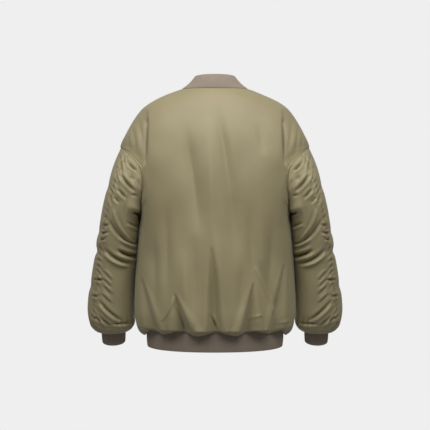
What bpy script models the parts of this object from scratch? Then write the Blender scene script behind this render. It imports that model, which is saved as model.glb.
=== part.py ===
"""Bomber jacket, worn form with no wearer: satin nylon shell, ribbed collar, cuffs and hem,
two-piece sleeves with a ruched back seam, and a closed front zip.

Frame: metres, +Z up, wearer's left on +X, the front faces -Y. The origin lies on the
middle plane at the height of the neck points, where the wearer's shoulders carry it.
"""
import math

import bmesh
import bpy
import numpy as np
from mathutils import Vector

for old in list(bpy.data.objects):
    bpy.data.objects.remove(old, do_unlink=True)

# ------------------------------------------------------------------ named sizes
WALL = 0.0024            # shell, wadding and lining together
RIB_WALL = 0.0030        # folded rib knit
SEAM = 0.00015           # each piece stops this far from a seam line
BUTT = 0.0003            # gap where a shell edge meets the outer face of a rib
Y_MID = -0.005           # plane of the side seams and shoulder ridges

HEM_SEAM_Z = -0.631      # shell meets the hem rib
HEM_HALF_WIDTH = 0.1850  # outer face of the hem rib
HEM_HALF_DEPTH = 0.1350

ZIP_EDGE = 0.0098        # fronts and ribs stop here on each side of the zip
ZIP_EASE = 0.009         # the front stands in at the zip near the hem
ZIP_EASE_REACH = 0.050
NECK_FRONT_DROP = 0.085  # how far the front neck seam lies below the shoulders

CUFF_TILT = math.radians(13.0)   # cuffs lean forward with the hanging arm
CUFF_X, CUFF_Y = 0.2797, -0.0500
CUFF_HALF_WIDTH, CUFF_HALF_DEPTH = 0.0331, 0.0370
CUFF_SEAM_Z = -0.634

COLS = 14                # columns from the centre line to a side seam or armhole
EASE_ROUNDS = 8          # rounds of evening out the body near the top of the armholes
EASE_REACH = 0.040
INNER_COLS = 9           # of these, up to the crease beside the arm
GATHER_HEIGHT = 0.0014
GATHER_REACH = 0.013

# Half sections of the body above the underarm: centre back depth, then shoulder-blade,
# crease, cap and edge points, and the front's depth as a share of the back's.
BODY = (
    # z,     cb_y,   m_x,   m_y,   k_x,   k_y,   c_x,   c_y,   e_x,    e_y,   front
    (0.000, 0.0780, 0.044, 0.068, 0.073, 0.044, 0.0865, 0.020, 0.0900, -0.005, 1.084),
    (-.011, 0.0860, 0.053, 0.077, 0.092, 0.050, 0.1130, 0.023, 0.1200, -0.005, 1.050),
    (-.022, 0.0930, 0.062, 0.084, 0.112, 0.055, 0.1370, 0.026, 0.1465, -0.005, 1.020),
    (-.043, 0.1030, 0.076, 0.0952, 0.141, 0.0630, 0.1715, 0.0306, 0.1845, -0.005, 0.980),
    (-.065, 0.1120, 0.085, 0.1040, 0.161, 0.0700, 0.1920, 0.0370, 0.2075, -0.005, 0.950),
    (-.086, 0.1200, 0.091, 0.1115, 0.172, 0.0800, 0.2030, 0.0460, 0.2220, -0.005, 0.930),
    (-.108, 0.1280, 0.095, 0.1188, 0.179, 0.0880, 0.2100, 0.0560, 0.2340, -0.005, 0.920),
    (-.130, 0.1342, 0.098, 0.1248, 0.182, 0.0945, 0.2150, 0.0655, 0.2450, -0.005, 0.915),
    (-.156, 0.1395, 0.100, 0.1298, 0.183, 0.1005, 0.2160, 0.0740, 0.2535, -0.005, 0.910),
    (-.172, 0.1422, 0.101, 0.1323, 0.182, 0.1045, 0.2070, 0.0815, 0.2350,  0.058, 0.905),
    (-.195, 0.1457, 0.103, 0.1353, 0.179, 0.1090, 0.1950, 0.0940, 0.2100,  0.084, 0.900),
    (-.222, 0.1489, 0.104, 0.1380, 0.176, 0.1115, 0.1870, 0.1030, 0.1925,  0.094, 0.900),
    (-.272, 0.1532, 0.105, 0.1405, 0.171, 0.1135, 0.1820, 0.1045, 0.1890,  0.092, 0.895),
    (-.306, 0.1553, 0.105, 0.1405, 0.168, 0.1120, 0.1850, 0.0910, 0.1940,  0.065, 0.895),
    (-.322, 0.1562, 0.105, 0.1400, 0.168, 0.1095, 0.1870, 0.0760, 0.2010, -0.005, 0.893),
    (-.365, 0.1577, 0.1065, 0.1392, 0.169, 0.1025, 0.1910, 0.0620, 0.2020, -0.005, 0.889),
    (-.408, 0.1592, 0.1090, 0.1390, 0.1725, 0.0963, 0.1972, 0.0502, 0.2065, -0.005, 0.891),
    (-.450, 0.1605, 0.1111, 0.1398, 0.1745, 0.0923, 0.2010, 0.0456, 0.2105, -0.005, 0.894),
)

# The body below the underarm: half width, back depth and front depth at the middle.
WAIST = (
    # z,     width,  back,   front
    (-.322, 0.1990, 0.1562, 0.1484),
    (-.334, 0.1983, 0.1566, 0.1486),
    (-.365, 0.2020, 0.1577, 0.1495),
    (-.400, 0.2060, 0.1590, 0.1510),
    (-.450, 0.2105, 0.1605, 0.1530),
    (-.500, 0.2140, 0.1625, 0.1545),
    (-.540, 0.2165, 0.1640, 0.1555),
    (-.575, 0.2170, 0.1650, 0.1550),
    (-.605, 0.2155, 0.1655, 0.1545),
    (-.626, 0.2120, 0.1635, 0.1520),
    (-.640, 0.2080, 0.1610, 0.1500),
)
SIDE_SHARE = ((0.528, 0.875), (0.829, 0.588), (0.955, 0.306))   # m, k and c of a plain half section

# The shell's tuck at the hem rib: share of the overhang, share of the droop.
TUCK = (
    # out, droop
    (0.80, 0.60),
    (0.42, 1.00),
    (0.00, 0.00),
)

# Droop of the shell below the hem seam round the body: angle from the centre back.
DROOP = (
    # angle, droop
    (-180.0, 0.0050), (-165.0, 0.0070), (-140.0, 0.0130), (-118.0, 0.0080), (-100.0, 0.0240),
    (-84.0, 0.0260), (-66.0, 0.0060), (-54.0, 0.0130), (-36.0, 0.0040), (-20.0, 0.0140),
    (-2.0, 0.0040), (17.0, 0.0145), (34.0, 0.0040), (50.0, 0.0140), (63.0, 0.0060),
    (84.0, 0.0260), (100.0, 0.0240), (118.0, 0.0080), (140.0, 0.0130), (165.0, 0.0070), (180.0, 0.0050),
)
LEAST_DROOP = 0.0035

# Armhole seam of the left side, back half: angle round the sleeve from its outer side.
ARMHOLE = (
    # angle, x,     y,      z
    (0.0,   0.2535, -0.005, -0.1560),
    (30.0,  0.2440,  0.033, -0.1620),
    (60.0,  0.2260,  0.066, -0.1785),
    (85.0,  0.2070,  0.086, -0.1980),
    (110.0, 0.1925,  0.094, -0.2220),
    (140.0, 0.1890,  0.092, -0.2720),
    (162.0, 0.1945,  0.060, -0.3090),
    (180.0, 0.2010, -0.005, -0.3220),
)

# Direction in which the sleeve leaves the armhole.
SLEEVE_START = (
    # angle, x,    y,     z
    (0.0,   0.42,  0.00, -0.90),
    (60.0,  0.55,  0.45, -0.70),
    (100.0, 0.80,  0.42, -0.42),
    (140.0, 0.80,  0.36, -0.48),
    (180.0, 0.75,  0.00, -0.66),
)

# Rings of the left sleeve below the underarm.
SLEEVE = (
    # z,     x,      half_w, y,      half_d
    (-.365, 0.2575, 0.0520, -0.007, 0.0930),
    (-.400, 0.2628, 0.0530, -0.010, 0.0895),
    (-.440, 0.2676, 0.0542, -0.014, 0.0840),
    (-.500, 0.2752, 0.0574, -0.022, 0.0800),
    (-.560, 0.2822, 0.0612, -0.032, 0.0770),
    (-.605, 0.2830, 0.0622, -0.040, 0.0740),
    (-.630, 0.2812, 0.0590, -0.046, 0.0680),
)
SLEEVE_SQUARE = 0.84          # 1 is an ellipse; less is flatter behind and in front

# Sleeve's tuck over the cuff: share of the overhang, height.
SLEEVE_TUCK = (
    # out,  z
    (0.86, -.6410),
    (0.50, -.6490),
    (0.00, -.6340),
)

# Ruched seam of the sleeve: its angle from the outer side at each height.
RUCHED = (
    # z,    angle
    (-.170, 60.0), (-.224, 74.0), (-.270, 70.0), (-.343, 60.0), (-.437, 51.0),
    (-.486, 58.0), (-.535, 54.0), (-.640, 52.0),
)

# Main folds, seen from the back, on the left sleeve: from one end to the other,
# sideways bow, half width, depth, and height of the ridge on the lower side.
SLEEVE_FOLDS_BACK = (
    # x0,    z0,     x1,     z1,     bow,    width,  depth,  ridge
    (0.2420, -.2300, 0.2120, -.2720, 0.003, 0.0085, 0.0070, 0.0040),
    (0.2640, -.2750, 0.2420, -.2950, 0.000, 0.0080, 0.0045, 0.0020),
    (0.2180, -.3180, 0.1980, -.3240, 0.000, 0.0070, 0.0060, 0.0030),
    (0.2660, -.3560, 0.2260, -.4050, 0.006, 0.0090, 0.0075, 0.0060),
    (0.2560, -.4260, 0.2110, -.4420, 0.004, 0.0100, 0.0120, 0.0060),
    (0.2800, -.4260, 0.2320, -.4620, 0.005, 0.0085, 0.0070, 0.0050),
    (0.2880, -.4600, 0.2600, -.4800, 0.000, 0.0080, 0.0035, 0.0020),
    (0.3020, -.5750, 0.2520, -.6150, 0.004, 0.0100, 0.0065, 0.0040),
)
# The same on the sleeve's front half, hidden from behind.
SLEEVE_FOLDS_FRONT = (
    (0.2500, -.2550, 0.2180, -.2900, 0.003, 0.0100, 0.0060, 0.0030),
    (0.2820, -.3700, 0.2300, -.3950, 0.004, 0.0100, 0.0080, 0.0040),
    (0.2920, -.4250, 0.2350, -.4500, 0.004, 0.0105, 0.0100, 0.0050),
    (0.3000, -.4900, 0.2500, -.5150, 0.003, 0.0110, 0.0060, 0.0040),
    (0.3060, -.5700, 0.2520, -.6000, 0.004, 0.0110, 0.0070, 0.0040),
)
# Notches in the sleeve's outer side: height, half width, depth.
SLEEVE_NOTCHES = (
    # z,     width,  depth
    (-.2600, 0.0130, 0.0020),
    (-.3830, 0.0120, 0.0025),
    (-.4340, 0.0110, 0.0045),
    (-.5290, 0.0130, 0.0025),
)

# Main folds of the body seen from the back, as above.
BACK_FOLDS = (
    (0.0980, -.5200, 0.0820, -.7400, 0.000, 0.0150, 0.0105, 0.0030),
    (0.0100, -.4000, -.0030, -.7600, 0.000, 0.0150, 0.0100, 0.0030),
    (-.0950, -.4900, -.0880, -.7500, 0.000, 0.0150, 0.0105, 0.0030),
    (0.1850, -.4900, 0.1600, -.7500, 0.000, 0.0140, 0.0080, 0.0020),
    (-.1760, -.4500, -.1600, -.7500, 0.000, 0.0140, 0.0080, 0.0020),
    (0.0720, -.1300, 0.0510, -.3200, 0.004, 0.0220, 0.0040, 0.0015),
    (-.0250, -.1150, -.0120, -.3300, 0.004, 0.0200, 0.0035, 0.0015),
    (-.1010, -.4500, -.1560, -.6300, 0.006, 0.0150, 0.0050, 0.0020),
    (0.1060, -.4300, 0.1300, -.6600, 0.000, 0.0200, 0.0040, 0.0020),
)
# Main folds of the left front, as above.
FRONT_FOLDS = (
    (0.1600, -.4200, 0.1450, -.7000, 0.000, 0.0150, 0.0060, 0.0030),
    (0.0950, -.4300, 0.0850, -.6800, 0.000, 0.0150, 0.0055, 0.0020),
    (0.1250, -.1600, 0.0950, -.3200, 0.004, 0.0220, 0.0045, 0.0015),
    (0.1500, -.3300, 0.0900, -.4600, 0.006, 0.0200, 0.0040, 0.0020),
)
# The right front's folds lie a little differently.
FRONT_FOLDS_RIGHT = (
    (0.1520, -.4000, 0.1380, -.7000, 0.000, 0.0150, 0.0060, 0.0030),
    (0.0900, -.4500, 0.0800, -.6800, 0.000, 0.0150, 0.0055, 0.0020),
    (0.1180, -.1700, 0.0900, -.3400, 0.004, 0.0220, 0.0045, 0.0015),
)

# Collar rib above the neck seam: height, and how far it leans in at the back, side and front.
COLLAR = (
    # up,    back,   side,   front
    (0.0000, 0.0000, 0.0000, 0.0000),
    (0.0135, 0.0045, 0.0170, 0.0060),
    (0.0290, 0.0125, 0.0305, 0.0145),
    (0.0395, 0.0205, 0.0380, 0.0230),
)
COLLAR_SIDE_HEIGHT = 0.90     # height at the side as a share of that at the back
NECK_HALF_WIDTH, NECK_HALF_DEPTH = 0.090, 0.085

# Hem rib: height and how far it stands in from its widest.
HEM_RIB = (
    # z,     inset
    (-0.625, 0.0000), (-0.647, 0.0000), (-0.672, 0.0008), (-0.690, 0.0028),
)
# Cuff rib: distance below its seam along the forearm, and inset.
CUFF_RIB = (
    # below, inset
    (-0.005, 0.0000), (0.018, 0.0000), (0.040, 0.0006), (0.0545, 0.0018),
)

# Zip: a tape on each side with its half of the chain, all in the plane of the front.
ZIP_TAPE_WALL = 0.0012
ZIP_TAPE_TO = 0.0095
CHAIN_FROM, CHAIN_TO = 0.00015, 0.0028
CHAIN_THICK = 0.0030
ZIP_STEP = 0.036                    # length of one straight stretch of the zip

# Slider, in its own frame: x across, y into the body, z up along the zip.
SLIDER_DOWN = 0.0090                # its origin below the zip's top end
SLIDER_HALF_WIDTH = 0.0046
SLOT_PLAY = 0.0003                  # from the slot's top to the zip's top end
PLATE_INNER, PLATE_OUTER = 0.0018, 0.0032
PLATE_BOTTOM, PLATE_TOP = -0.0060, 0.0120
CROWN_HALF_WIDTH = 0.0014
CROWN_Z = (-0.0030, -0.0016, 0.0056, 0.0070)
CROWN_INNER, CROWN_OUTER = 0.0057, 0.0069
CROWN_CUT, CROWN_SUNK = 0.0013, 0.0004   # its cut corners, and how deep it sits in the plate

# Pull tab, in the slider's frame; its hinge is the bar under the crown.
HINGE_Y, HINGE_Z = -0.00445, -0.0002
PULL_THICK = 0.0014
PULL_BAR = 0.00075                  # half height of the bar
PULL_HOLE_HALF_WIDTH, PULL_HOLE_END = 0.0022, -0.0065
PULL_OUTLINE = ((0.0034, 0.00075), (0.0034, -0.0080), (0.0029, -0.0130), (0.0038, -0.0300),
                (0.0030, -0.0328), (0.0012, -0.0340))

COLOURS = {
    # look: base colour, roughness, metallic
    "satin_nylon": ((0.235, 0.205, 0.125, 1.0), 0.42, 0.0),
    "rib_knit": ((0.175, 0.145, 0.115, 1.0), 0.92, 0.0),
    "zip_tape": ((0.150, 0.130, 0.090, 1.0), 0.85, 0.0),
    "zip_metal": ((0.560, 0.530, 0.480, 1.0), 0.32, 1.0),
}


# ------------------------------------------------------------------ helpers
def unit(v):
    v = np.asarray(v, dtype=float)
    return v / np.maximum(np.linalg.norm(v, axis=-1, keepdims=True), 1e-12)


def read(table, at):
    """Rows of a table read at `at`, with smooth curves through them."""
    rows = np.array(table, dtype=float)
    rows = rows[np.argsort(rows[:, 0])]
    key, cols = rows[:, 0], rows[:, 1:]
    slope = np.gradient(cols, key, axis=0)
    at = np.atleast_1d(np.asarray(at, dtype=float))
    i = np.clip(np.searchsorted(key, at, side="right") - 1, 0, len(key) - 2)
    step = (key[i + 1] - key[i])[:, None]
    t = np.clip((at - key[i])[:, None] / step, 0.0, 1.0)
    past = ((at - key[i])[:, None] / step - t) * step
    value = (2 * t ** 3 - 3 * t ** 2 + 1) * cols[i] + (t ** 3 - 2 * t ** 2 + t) * step * slope[i] \
        + (3 * t ** 2 - 2 * t ** 3) * cols[i + 1] + (t ** 3 - t ** 2) * step * slope[i + 1]
    return value + past * np.where(t > 0.5, slope[i + 1], slope[i])


def spline(points):
    """A natural cubic spline through the points, and its parameter at each point."""
    p = np.asarray(points, dtype=float)
    t = np.concatenate(([0.0], np.cumsum(np.linalg.norm(np.diff(p, axis=0), axis=1))))
    n, h = len(p), np.diff(t)
    a = np.eye(n)
    b = np.zeros_like(p)
    for i in range(1, n - 1):
        a[i, i - 1:i + 2] = h[i - 1], 2 * (h[i - 1] + h[i]), h[i]
        b[i] = 6 * ((p[i + 1] - p[i]) / h[i] - (p[i] - p[i - 1]) / h[i - 1])
    m = np.linalg.solve(a, b)

    def value(s):
        i = np.clip(np.searchsorted(t, s, side="right") - 1, 0, n - 2)
        w = (s - t[i])[:, None]
        v = (t[i + 1] - s)[:, None]
        g = h[i][:, None]
        return (m[i] * v ** 3 + m[i + 1] * w ** 3) / (6 * g) + (p[i] / g - m[i] * g / 6) * v \
            + (p[i + 1] / g - m[i + 1] * g / 6) * w
    return t, value


def crease(points, x0, z0, x1, z1, bow, width, depth, ridge):
    """Height of one fold at points seen in the XZ plane: a trough with a ridge below it."""
    start, along = np.array((x0, z0)), np.array((x1 - x0, z1 - z0))
    length = np.linalg.norm(along)
    along = along / length
    across = np.array((-along[1], along[0]))
    if across[1] < 0 or (abs(across[1]) < 0.3 and across[0] < 0):
        across = -across
    rel = points[..., (0, 2)] - start
    s = rel @ along / length
    d = rel @ across - bow * 4 * s.clip(0, 1) * (1 - s.clip(0, 1))
    past = np.maximum(np.maximum(-s, s - 1.0), 0.0) * length
    fade = np.exp(-(past / (0.8 * width)) ** 2) * (0.35 + 0.65 * np.sin(math.pi * s.clip(0.04, 0.96)) ** 0.7)
    return fade * (ridge * np.exp(-((d + 1.7 * width) / (1.1 * width)) ** 2)
                   - depth * np.exp(-(d / width) ** 2))


def grid_normals(grid, ring=False):
    """Unit normals of a grid of points (rows x columns), wrapped round the columns if ring."""
    if ring:
        du = np.roll(grid, -1, axis=1) - np.roll(grid, 1, axis=1)
    else:
        du = np.gradient(grid, axis=1)
    dv = np.gradient(grid, axis=0)
    return unit(np.cross(du, dv))


def material(look):
    made = bpy.data.materials.get(look)
    if made is None:
        colour, rough, metal = COLOURS[look]
        made = bpy.data.materials.new(look)
        made.use_nodes = True
        shader = made.node_tree.nodes["Principled BSDF"]
        shader.inputs["Base Color"].default_value = colour
        shader.inputs["Roughness"].default_value = rough
        shader.inputs["Metallic"].default_value = metal
        made.diffuse_color = colour
    return made


def finish(name, bm, look, location=(0.0, 0.0, 0.0), parent=None, sharp=60.0):
    bmesh.ops.recalc_face_normals(bm, faces=bm.faces[:])
    mesh = bpy.data.meshes.new(name)
    bm.to_mesh(mesh)
    bm.free()
    mesh.shade_smooth()
    mesh.set_sharp_from_angle(angle=math.radians(sharp))
    mesh.materials.append(material(look))
    ob = bpy.data.objects.new(name, mesh)
    ob.location = location
    ob.parent = parent
    bpy.context.scene.collection.objects.link(ob)
    return ob


RIM_RULE = Vector((0.0, 0.23, 1.0))


def wall(name, outer, inner, look, ring=False):
    """A closed wall between two grids of points (rows x columns)."""
    bm = bmesh.new()
    rows, cols = outer.shape[:2]
    out = [[bm.verts.new(outer[r, c]) for c in range(cols)] for r in range(rows)]
    inn = [[bm.verts.new(inner[r, c]) for c in range(cols)] for r in range(rows)]
    last = cols if ring else cols - 1

    def rim(a, b):
        """The edge face from grid point a to b, split the same way in both pieces at a seam."""
        (oa, ia), (ob, ib) = (out[a[0]][a[1]], inn[a[0]][a[1]]), (out[b[0]][b[1]], inn[b[0]][b[1]])
        if (ob.co + ib.co).dot(RIM_RULE) > (oa.co + ia.co).dot(RIM_RULE):
            oa, ia, ob, ib = ob, ib, oa, ia
        bm.faces.new((oa, ia, ib))
        bm.faces.new((oa, ib, ob))

    for r in range(rows - 1):
        for c in range(last):
            d = (c + 1) % cols
            bm.faces.new((out[r][c], out[r][d], out[r + 1][d], out[r + 1][c]))
            bm.faces.new((inn[r][c], inn[r + 1][c], inn[r + 1][d], inn[r][d]))
    for c in range(last):
        d = (c + 1) % cols
        rim((0, c), (0, d))
        rim((-1, c), (-1, d))
    if not ring:
        for r in range(rows - 1):
            rim((r, 0), (r + 1, 0))
            rim((r, -1), (r + 1, -1))
    return finish(name, bm, look)


# ------------------------------------------------------------------ the body
TOP_ROWS = (0.0, -0.011, -0.026, -0.048, -0.075, -0.103, -0.130)
BACK_ANGLES = (0.0, 20.0, 40.0, 60.0, 76.0, 93.0, 110.0, 127.0, 145.0, 162.0, 180.0)
FRONT_ANGLES = (0.0, 30.0, 60.0, 90.0, 120.0, 150.0, 180.0)
LOW_ROWS = (-0.336, -0.370, -0.408, -0.450, -0.492, -0.532, -0.570, -0.604, HEM_SEAM_Z)
UNDERARM_Z = ARMHOLE[-1][3]


def front_share(z):
    return read([(row[0], row[-1]) for row in BODY], z)[0, 0]


def armhole(angles, back):
    """Points of the left armhole seam at angles round the sleeve from its outer side."""
    p = read(ARMHOLE, angles)
    p[np.isclose(angles, 0.0)] = ARMHOLE[0][1:]
    p[np.isclose(angles, 180.0)] = ARMHOLE[-1][1:]
    if not back:
        p[:, 1] = [Y_MID - front_share(z) * (y - Y_MID) for y, z in p[:, 1:]]
    return p


def section(z, back):
    """Centre, blade, crease, cap and edge points of a half section at one height."""
    if z >= BODY[-1][0] - 1e-6:
        row = read(BODY, z)[0]
        p = np.array([(0.0, row[0])] + [row[i:i + 2] for i in (1, 3, 5, 7)])
        if z < UNDERARM_Z:
            p[4] = read(WAIST, z)[0, 0], Y_MID
        if not back:
            p[:, 1] = Y_MID - row[-1] * (p[:, 1] - Y_MID)
        return p
    width, deep_back, deep_front = read(WAIST, z)[0]
    depth = deep_back - Y_MID if back else -(deep_front + Y_MID)
    return np.array([(0.0, Y_MID + depth)]
                    + [(width * sx, Y_MID + depth * sy) for sx, sy in SIDE_SHARE]
                    + [(width, Y_MID)])


def half_row(points, open_edge, stop_x=0.0):
    """A half section from its centre line (or from x = stop_x) over the crease to its edge."""
    mirror = points[3:0:-1] * (-1.0, 1.0)
    beyond = np.empty((0, 2))
    if not open_edge:
        beyond = points[3:0:-1].copy()
        beyond[:, 1] = 2 * Y_MID - beyond[:, 1]
    t, value = spline(np.vstack((mirror, points, beyond)))
    parts = []
    for first, last, count in ((3, 5, INNER_COLS), (5, 7, COLS - INNER_COLS)):
        line = value(np.linspace(t[first], t[last], 241))
        if first == 3 and stop_x > 0.0:
            line = line[np.argmax(line[:, 0] > stop_x) - 1:]
            share = (stop_x - line[0, 0]) / (line[1, 0] - line[0, 0])
            line[0] += share * (line[1] - line[0])
        length = np.concatenate(([0.0], np.cumsum(np.linalg.norm(np.diff(line, axis=0), axis=1))))
        steps = np.linspace(0.0, length[-1], count + 1)
        parts.append(np.stack([np.interp(steps, length, line[:, c]) for c in (0, 1)], axis=1))
    return np.vstack((parts[0][:-1], parts[1]))


def hem_section(back, gap=0.0, inset=0.0):
    width = HEM_HALF_WIDTH + gap - inset
    depth = HEM_HALF_DEPTH + gap - inset + (-Y_MID if back else Y_MID)
    depth = depth if back else -depth
    return np.array([(0.0, Y_MID + depth)]
                    + [(width * sx, Y_MID + depth * sy) for sx, sy in SIDE_SHARE]
                    + [(width, Y_MID)])


def half_body(back):
    """Left half of the back or of a front: rows from the neck seam to the hem seam."""
    stop = 0.0 if back else ZIP_EDGE
    angles = BACK_ANGLES if back else FRONT_ANGLES
    loop = armhole(np.array(angles), back)
    heights = [(z, None) for z in TOP_ROWS] + [(p[2], p) for p in loop] + [(z, None) for z in LOW_ROWS]
    rows = []
    for z, edge in heights:
        points = section(z, back)
        open_edge = edge is not None and UNDERARM_Z + 1e-6 < z < ARMHOLE[0][3] - 1e-6
        if edge is not None:
            points[4] = edge[:2]
        row = half_row(points, open_edge, stop)
        share = np.linspace(1.0, 0.0, COLS + 1)           # 1 at the centre, 0 at the edge
        if back:
            drop = 0.005 * max(0.0, 1.0 + z / 0.05) ** 2
            row_z = z - drop * np.sin(0.5 * math.pi * share) ** 1.6
        else:
            drop = NECK_FRONT_DROP * max(0.0, 1.0 + z / 0.40) ** 2
            row_z = z - drop * np.sin(0.5 * math.pi * share) ** 1.6
            ease = np.clip((-0.42 - z) / 0.20, 0.0, 1.0) ** 2
            row[:, 1] += ZIP_EASE * ease * np.exp(-(row[:, 0] / ZIP_EASE_REACH) ** 2)
        rows.append(np.column_stack((row, row_z)))
    return np.array(rows)


def fold_heights(grid, normals, table, back):
    facing = np.clip(normals[..., 1] if back else -normals[..., 1], 0.0, 1.0)
    facing = np.clip(facing / 0.35, 0.0, 1.0)
    total = np.zeros(grid.shape[:2])
    for row in table:
        total += crease(grid, *row)
    return total * facing


def hem_angle(row):
    """Angle round the body from the centre back, from -180 to 180 degrees."""
    return np.degrees(np.arctan2(row[:, 0], (row[:, 1] - Y_MID)))


def add_tuck(grid, back):
    """Adds the rows that droop below the hem seam and turn in to the outer face of the rib."""
    half = half_row(hem_section(back, gap=BUTT), False, 0.0 if back else ZIP_EDGE)
    if back:
        half = np.vstack((half[:0:-1] * (-1.0, 1.0), half))
    full = grid[-1]
    droop = np.maximum(read(DROOP, hem_angle(full))[:, 0], LEAST_DROOP)
    rows = [np.column_stack((half + (full[:, :2] - half) * out, HEM_SEAM_Z - droop * share))
            for out, share in TUCK]
    return np.vstack((grid, np.array(rows)))


def eased(grid, rounds):
    """Evens out a panel's surface near the top of its armholes, each point drawn to its neighbours."""
    grid = grid.copy()
    for _ in range(rounds):
        middle = grid[1:-1, 1:-1]
        pull, weight = np.zeros_like(middle), np.zeros(middle.shape[:2] + (1,))
        for other in (grid[:-2, 1:-1], grid[2:, 1:-1], grid[1:-1, :-2], grid[1:-1, 2:]):
            w = 1.0 / np.maximum(np.linalg.norm(other - middle, axis=2, keepdims=True), 1e-5)
            pull += w * (other - middle)
            weight += w
        away = np.linalg.norm(np.abs(middle) * (1, 0, -1) - np.array(ARMHOLE[0][1:]) * (1, 0, 1), axis=2)
        grid[1:-1, 1:-1] += 0.6 * pull / weight * np.exp(-(away / EASE_REACH) ** 2)[..., None]
    return grid


def mirrored(grid):
    return grid[:, ::-1] * (-1.0, 1.0, 1.0)


def shaped(grid, back, table):
    """Lays the main folds on a panel, none at its side, armhole and neck seams."""
    normals = grid_normals(grid)
    if np.sum(normals[..., 1]) * (1 if back else -1) < 0:
        normals = -normals
    height = fold_heights(grid, normals, table, back)
    height[0] = 0.0
    cols = grid.shape[1]
    side = np.minimum(np.arange(cols), np.arange(cols)[::-1]) if back else np.arange(cols)[::-1]
    height *= np.clip(side / 2.0, 0.0, 1.0)[None, :]
    moved = grid + normals * height[..., None]
    moved[-1, :, 2] = grid[-1, :, 2]
    return moved


half_back = half_body(True)
back_grid = np.concatenate((half_back[:, :0:-1] * (-1.0, 1.0, 1.0), half_back), axis=1)
back_grid = add_tuck(shaped(eased(back_grid, EASE_ROUNDS), True, BACK_FOLDS), True)
half_front = eased(half_body(False), EASE_ROUNDS)
front_grid = {
    "left": add_tuck(shaped(half_front, False, FRONT_FOLDS), False),
    "right": add_tuck(shaped(half_front, False, FRONT_FOLDS_RIGHT), False),
}


# ------------------------------------------------------------------ the sleeves
SLEEVE_ANGLES = np.array(BACK_ANGLES + tuple(180.0 + a for a in (30, 60, 90, 120, 150)))
SEAM_COL = BACK_ANGLES.index(60.0)       # the ruched seam's column
UNDER_COL = BACK_ANGLES.index(180.0)     # the underarm seam's column
LOFT_STEPS = np.array((0.0, 0.10, 0.19, 0.28, 0.37, 0.46, 0.55, 0.64, 0.73, 0.82, 0.91, 1.0))
RING_ROWS = 37


def ring_angles(z):
    """Angles of the sleeve's columns at one height: the ruched seam wanders."""
    seam = read(RUCHED, z)[0, 0]
    back = np.interp(np.array(BACK_ANGLES), (0.0, 60.0, 180.0), (0.0, seam, 180.0))
    return np.radians(np.concatenate((back, SLEEVE_ANGLES[len(BACK_ANGLES):])))


def ring(z):
    x, half_w, y, half_d = read(SLEEVE, z)[0]
    a = ring_angles(z)
    lean = CUFF_TILT * np.clip((-0.45 - z) / 0.17, 0.0, 1.0)
    dx = half_w * np.sign(np.cos(a)) * np.abs(np.cos(a)) ** SLEEVE_SQUARE
    dy = half_d * np.sign(np.sin(a)) * np.abs(np.sin(a)) ** SLEEVE_SQUARE
    return np.column_stack((x + dx, y + dy, z - math.tan(lean) * dy))


def cuff_ring(below, grow=0.0):
    """A ring of the cuff's outer face at a distance below its seam along the forearm."""
    a = ring_angles(-0.640)
    centre = np.array((CUFF_X, CUFF_Y, CUFF_SEAM_Z))
    centre -= np.array((0.0, math.sin(CUFF_TILT), math.cos(CUFF_TILT))) * below
    side = (CUFF_HALF_WIDTH + grow) * np.cos(a)
    deep = (CUFF_HALF_DEPTH + grow) * np.sin(a)
    return centre + np.column_stack((side, deep * math.cos(CUFF_TILT), -deep * math.sin(CUFF_TILT)))


def sleeve_grid():
    """Rows of the left sleeve from the armhole seam to the cuff seam, all round."""
    back_loop = armhole(np.array(BACK_ANGLES), True)
    front_loop = armhole(np.array((150.0, 120.0, 90.0, 60.0, 30.0)), False)
    loop = np.vstack((back_loop, front_loop))
    fold_angle = np.where(SLEEVE_ANGLES > 180.0, 360.0 - SLEEVE_ANGLES, SLEEVE_ANGLES)
    leave = unit(read(SLEEVE_START, fold_angle))
    leave[SLEEVE_ANGLES > 180.0, 1] *= -1.0
    heights = np.linspace(SLEEVE[0][0], SLEEVE[-1][0], RING_ROWS)
    first, second = ring(heights[0]), ring(heights[0] - 0.004)
    arrive = unit(second - first)
    span = np.linalg.norm(first - loop, axis=1)[:, None]
    rows = []
    for t in LOFT_STEPS[:-1]:
        h00, h10 = 2 * t ** 3 - 3 * t ** 2 + 1, t ** 3 - 2 * t ** 2 + t
        h01, h11 = -2 * t ** 3 + 3 * t ** 2, t ** 3 - t ** 2
        rows.append(h00 * loop + h10 * span * leave + h01 * first + h11 * span * arrive)
    rows += [ring(z) for z in heights]
    low, cuff = rows[-1], cuff_ring(0.0, grow=BUTT)
    for out, z in SLEEVE_TUCK:
        row = cuff + (low - cuff) * out
        row[:, 2] += (z - CUFF_SEAM_Z) - (low[:, 2] - cuff[:, 2]) * out
        rows.append(row)
    return np.array(rows)


def sleeve_shaped(grid):
    normals = grid_normals(grid, ring=True)
    centre = grid.mean(axis=1, keepdims=True)
    if np.sum(normals * (grid - centre)) < 0:
        normals = -normals
    height = fold_heights(grid, normals, SLEEVE_FOLDS_BACK, True)
    height += fold_heights(grid, normals, SLEEVE_FOLDS_FRONT, False)
    outer = np.clip(normals[..., 0], 0.0, 1.0) ** 2
    for z, width, depth in SLEEVE_NOTCHES:
        height -= depth * outer * np.exp(-((grid[..., 2] - z) / width) ** 2)
    seam = grid[:, SEAM_COL:SEAM_COL + 1]
    away = np.linalg.norm(grid - seam, axis=2)
    beat = (-1.0) ** np.arange(len(grid))[:, None]
    height += GATHER_HEIGHT * beat * np.exp(-(away / GATHER_REACH) ** 2)
    rows = len(grid)
    fade = np.clip(np.arange(rows) / 2.0, 0.0, 1.0) * np.clip((rows - 1 - np.arange(rows)) / 3.0, 0.0, 1.0)
    return grid + normals * (height * fade[:, None])[..., None]


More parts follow.
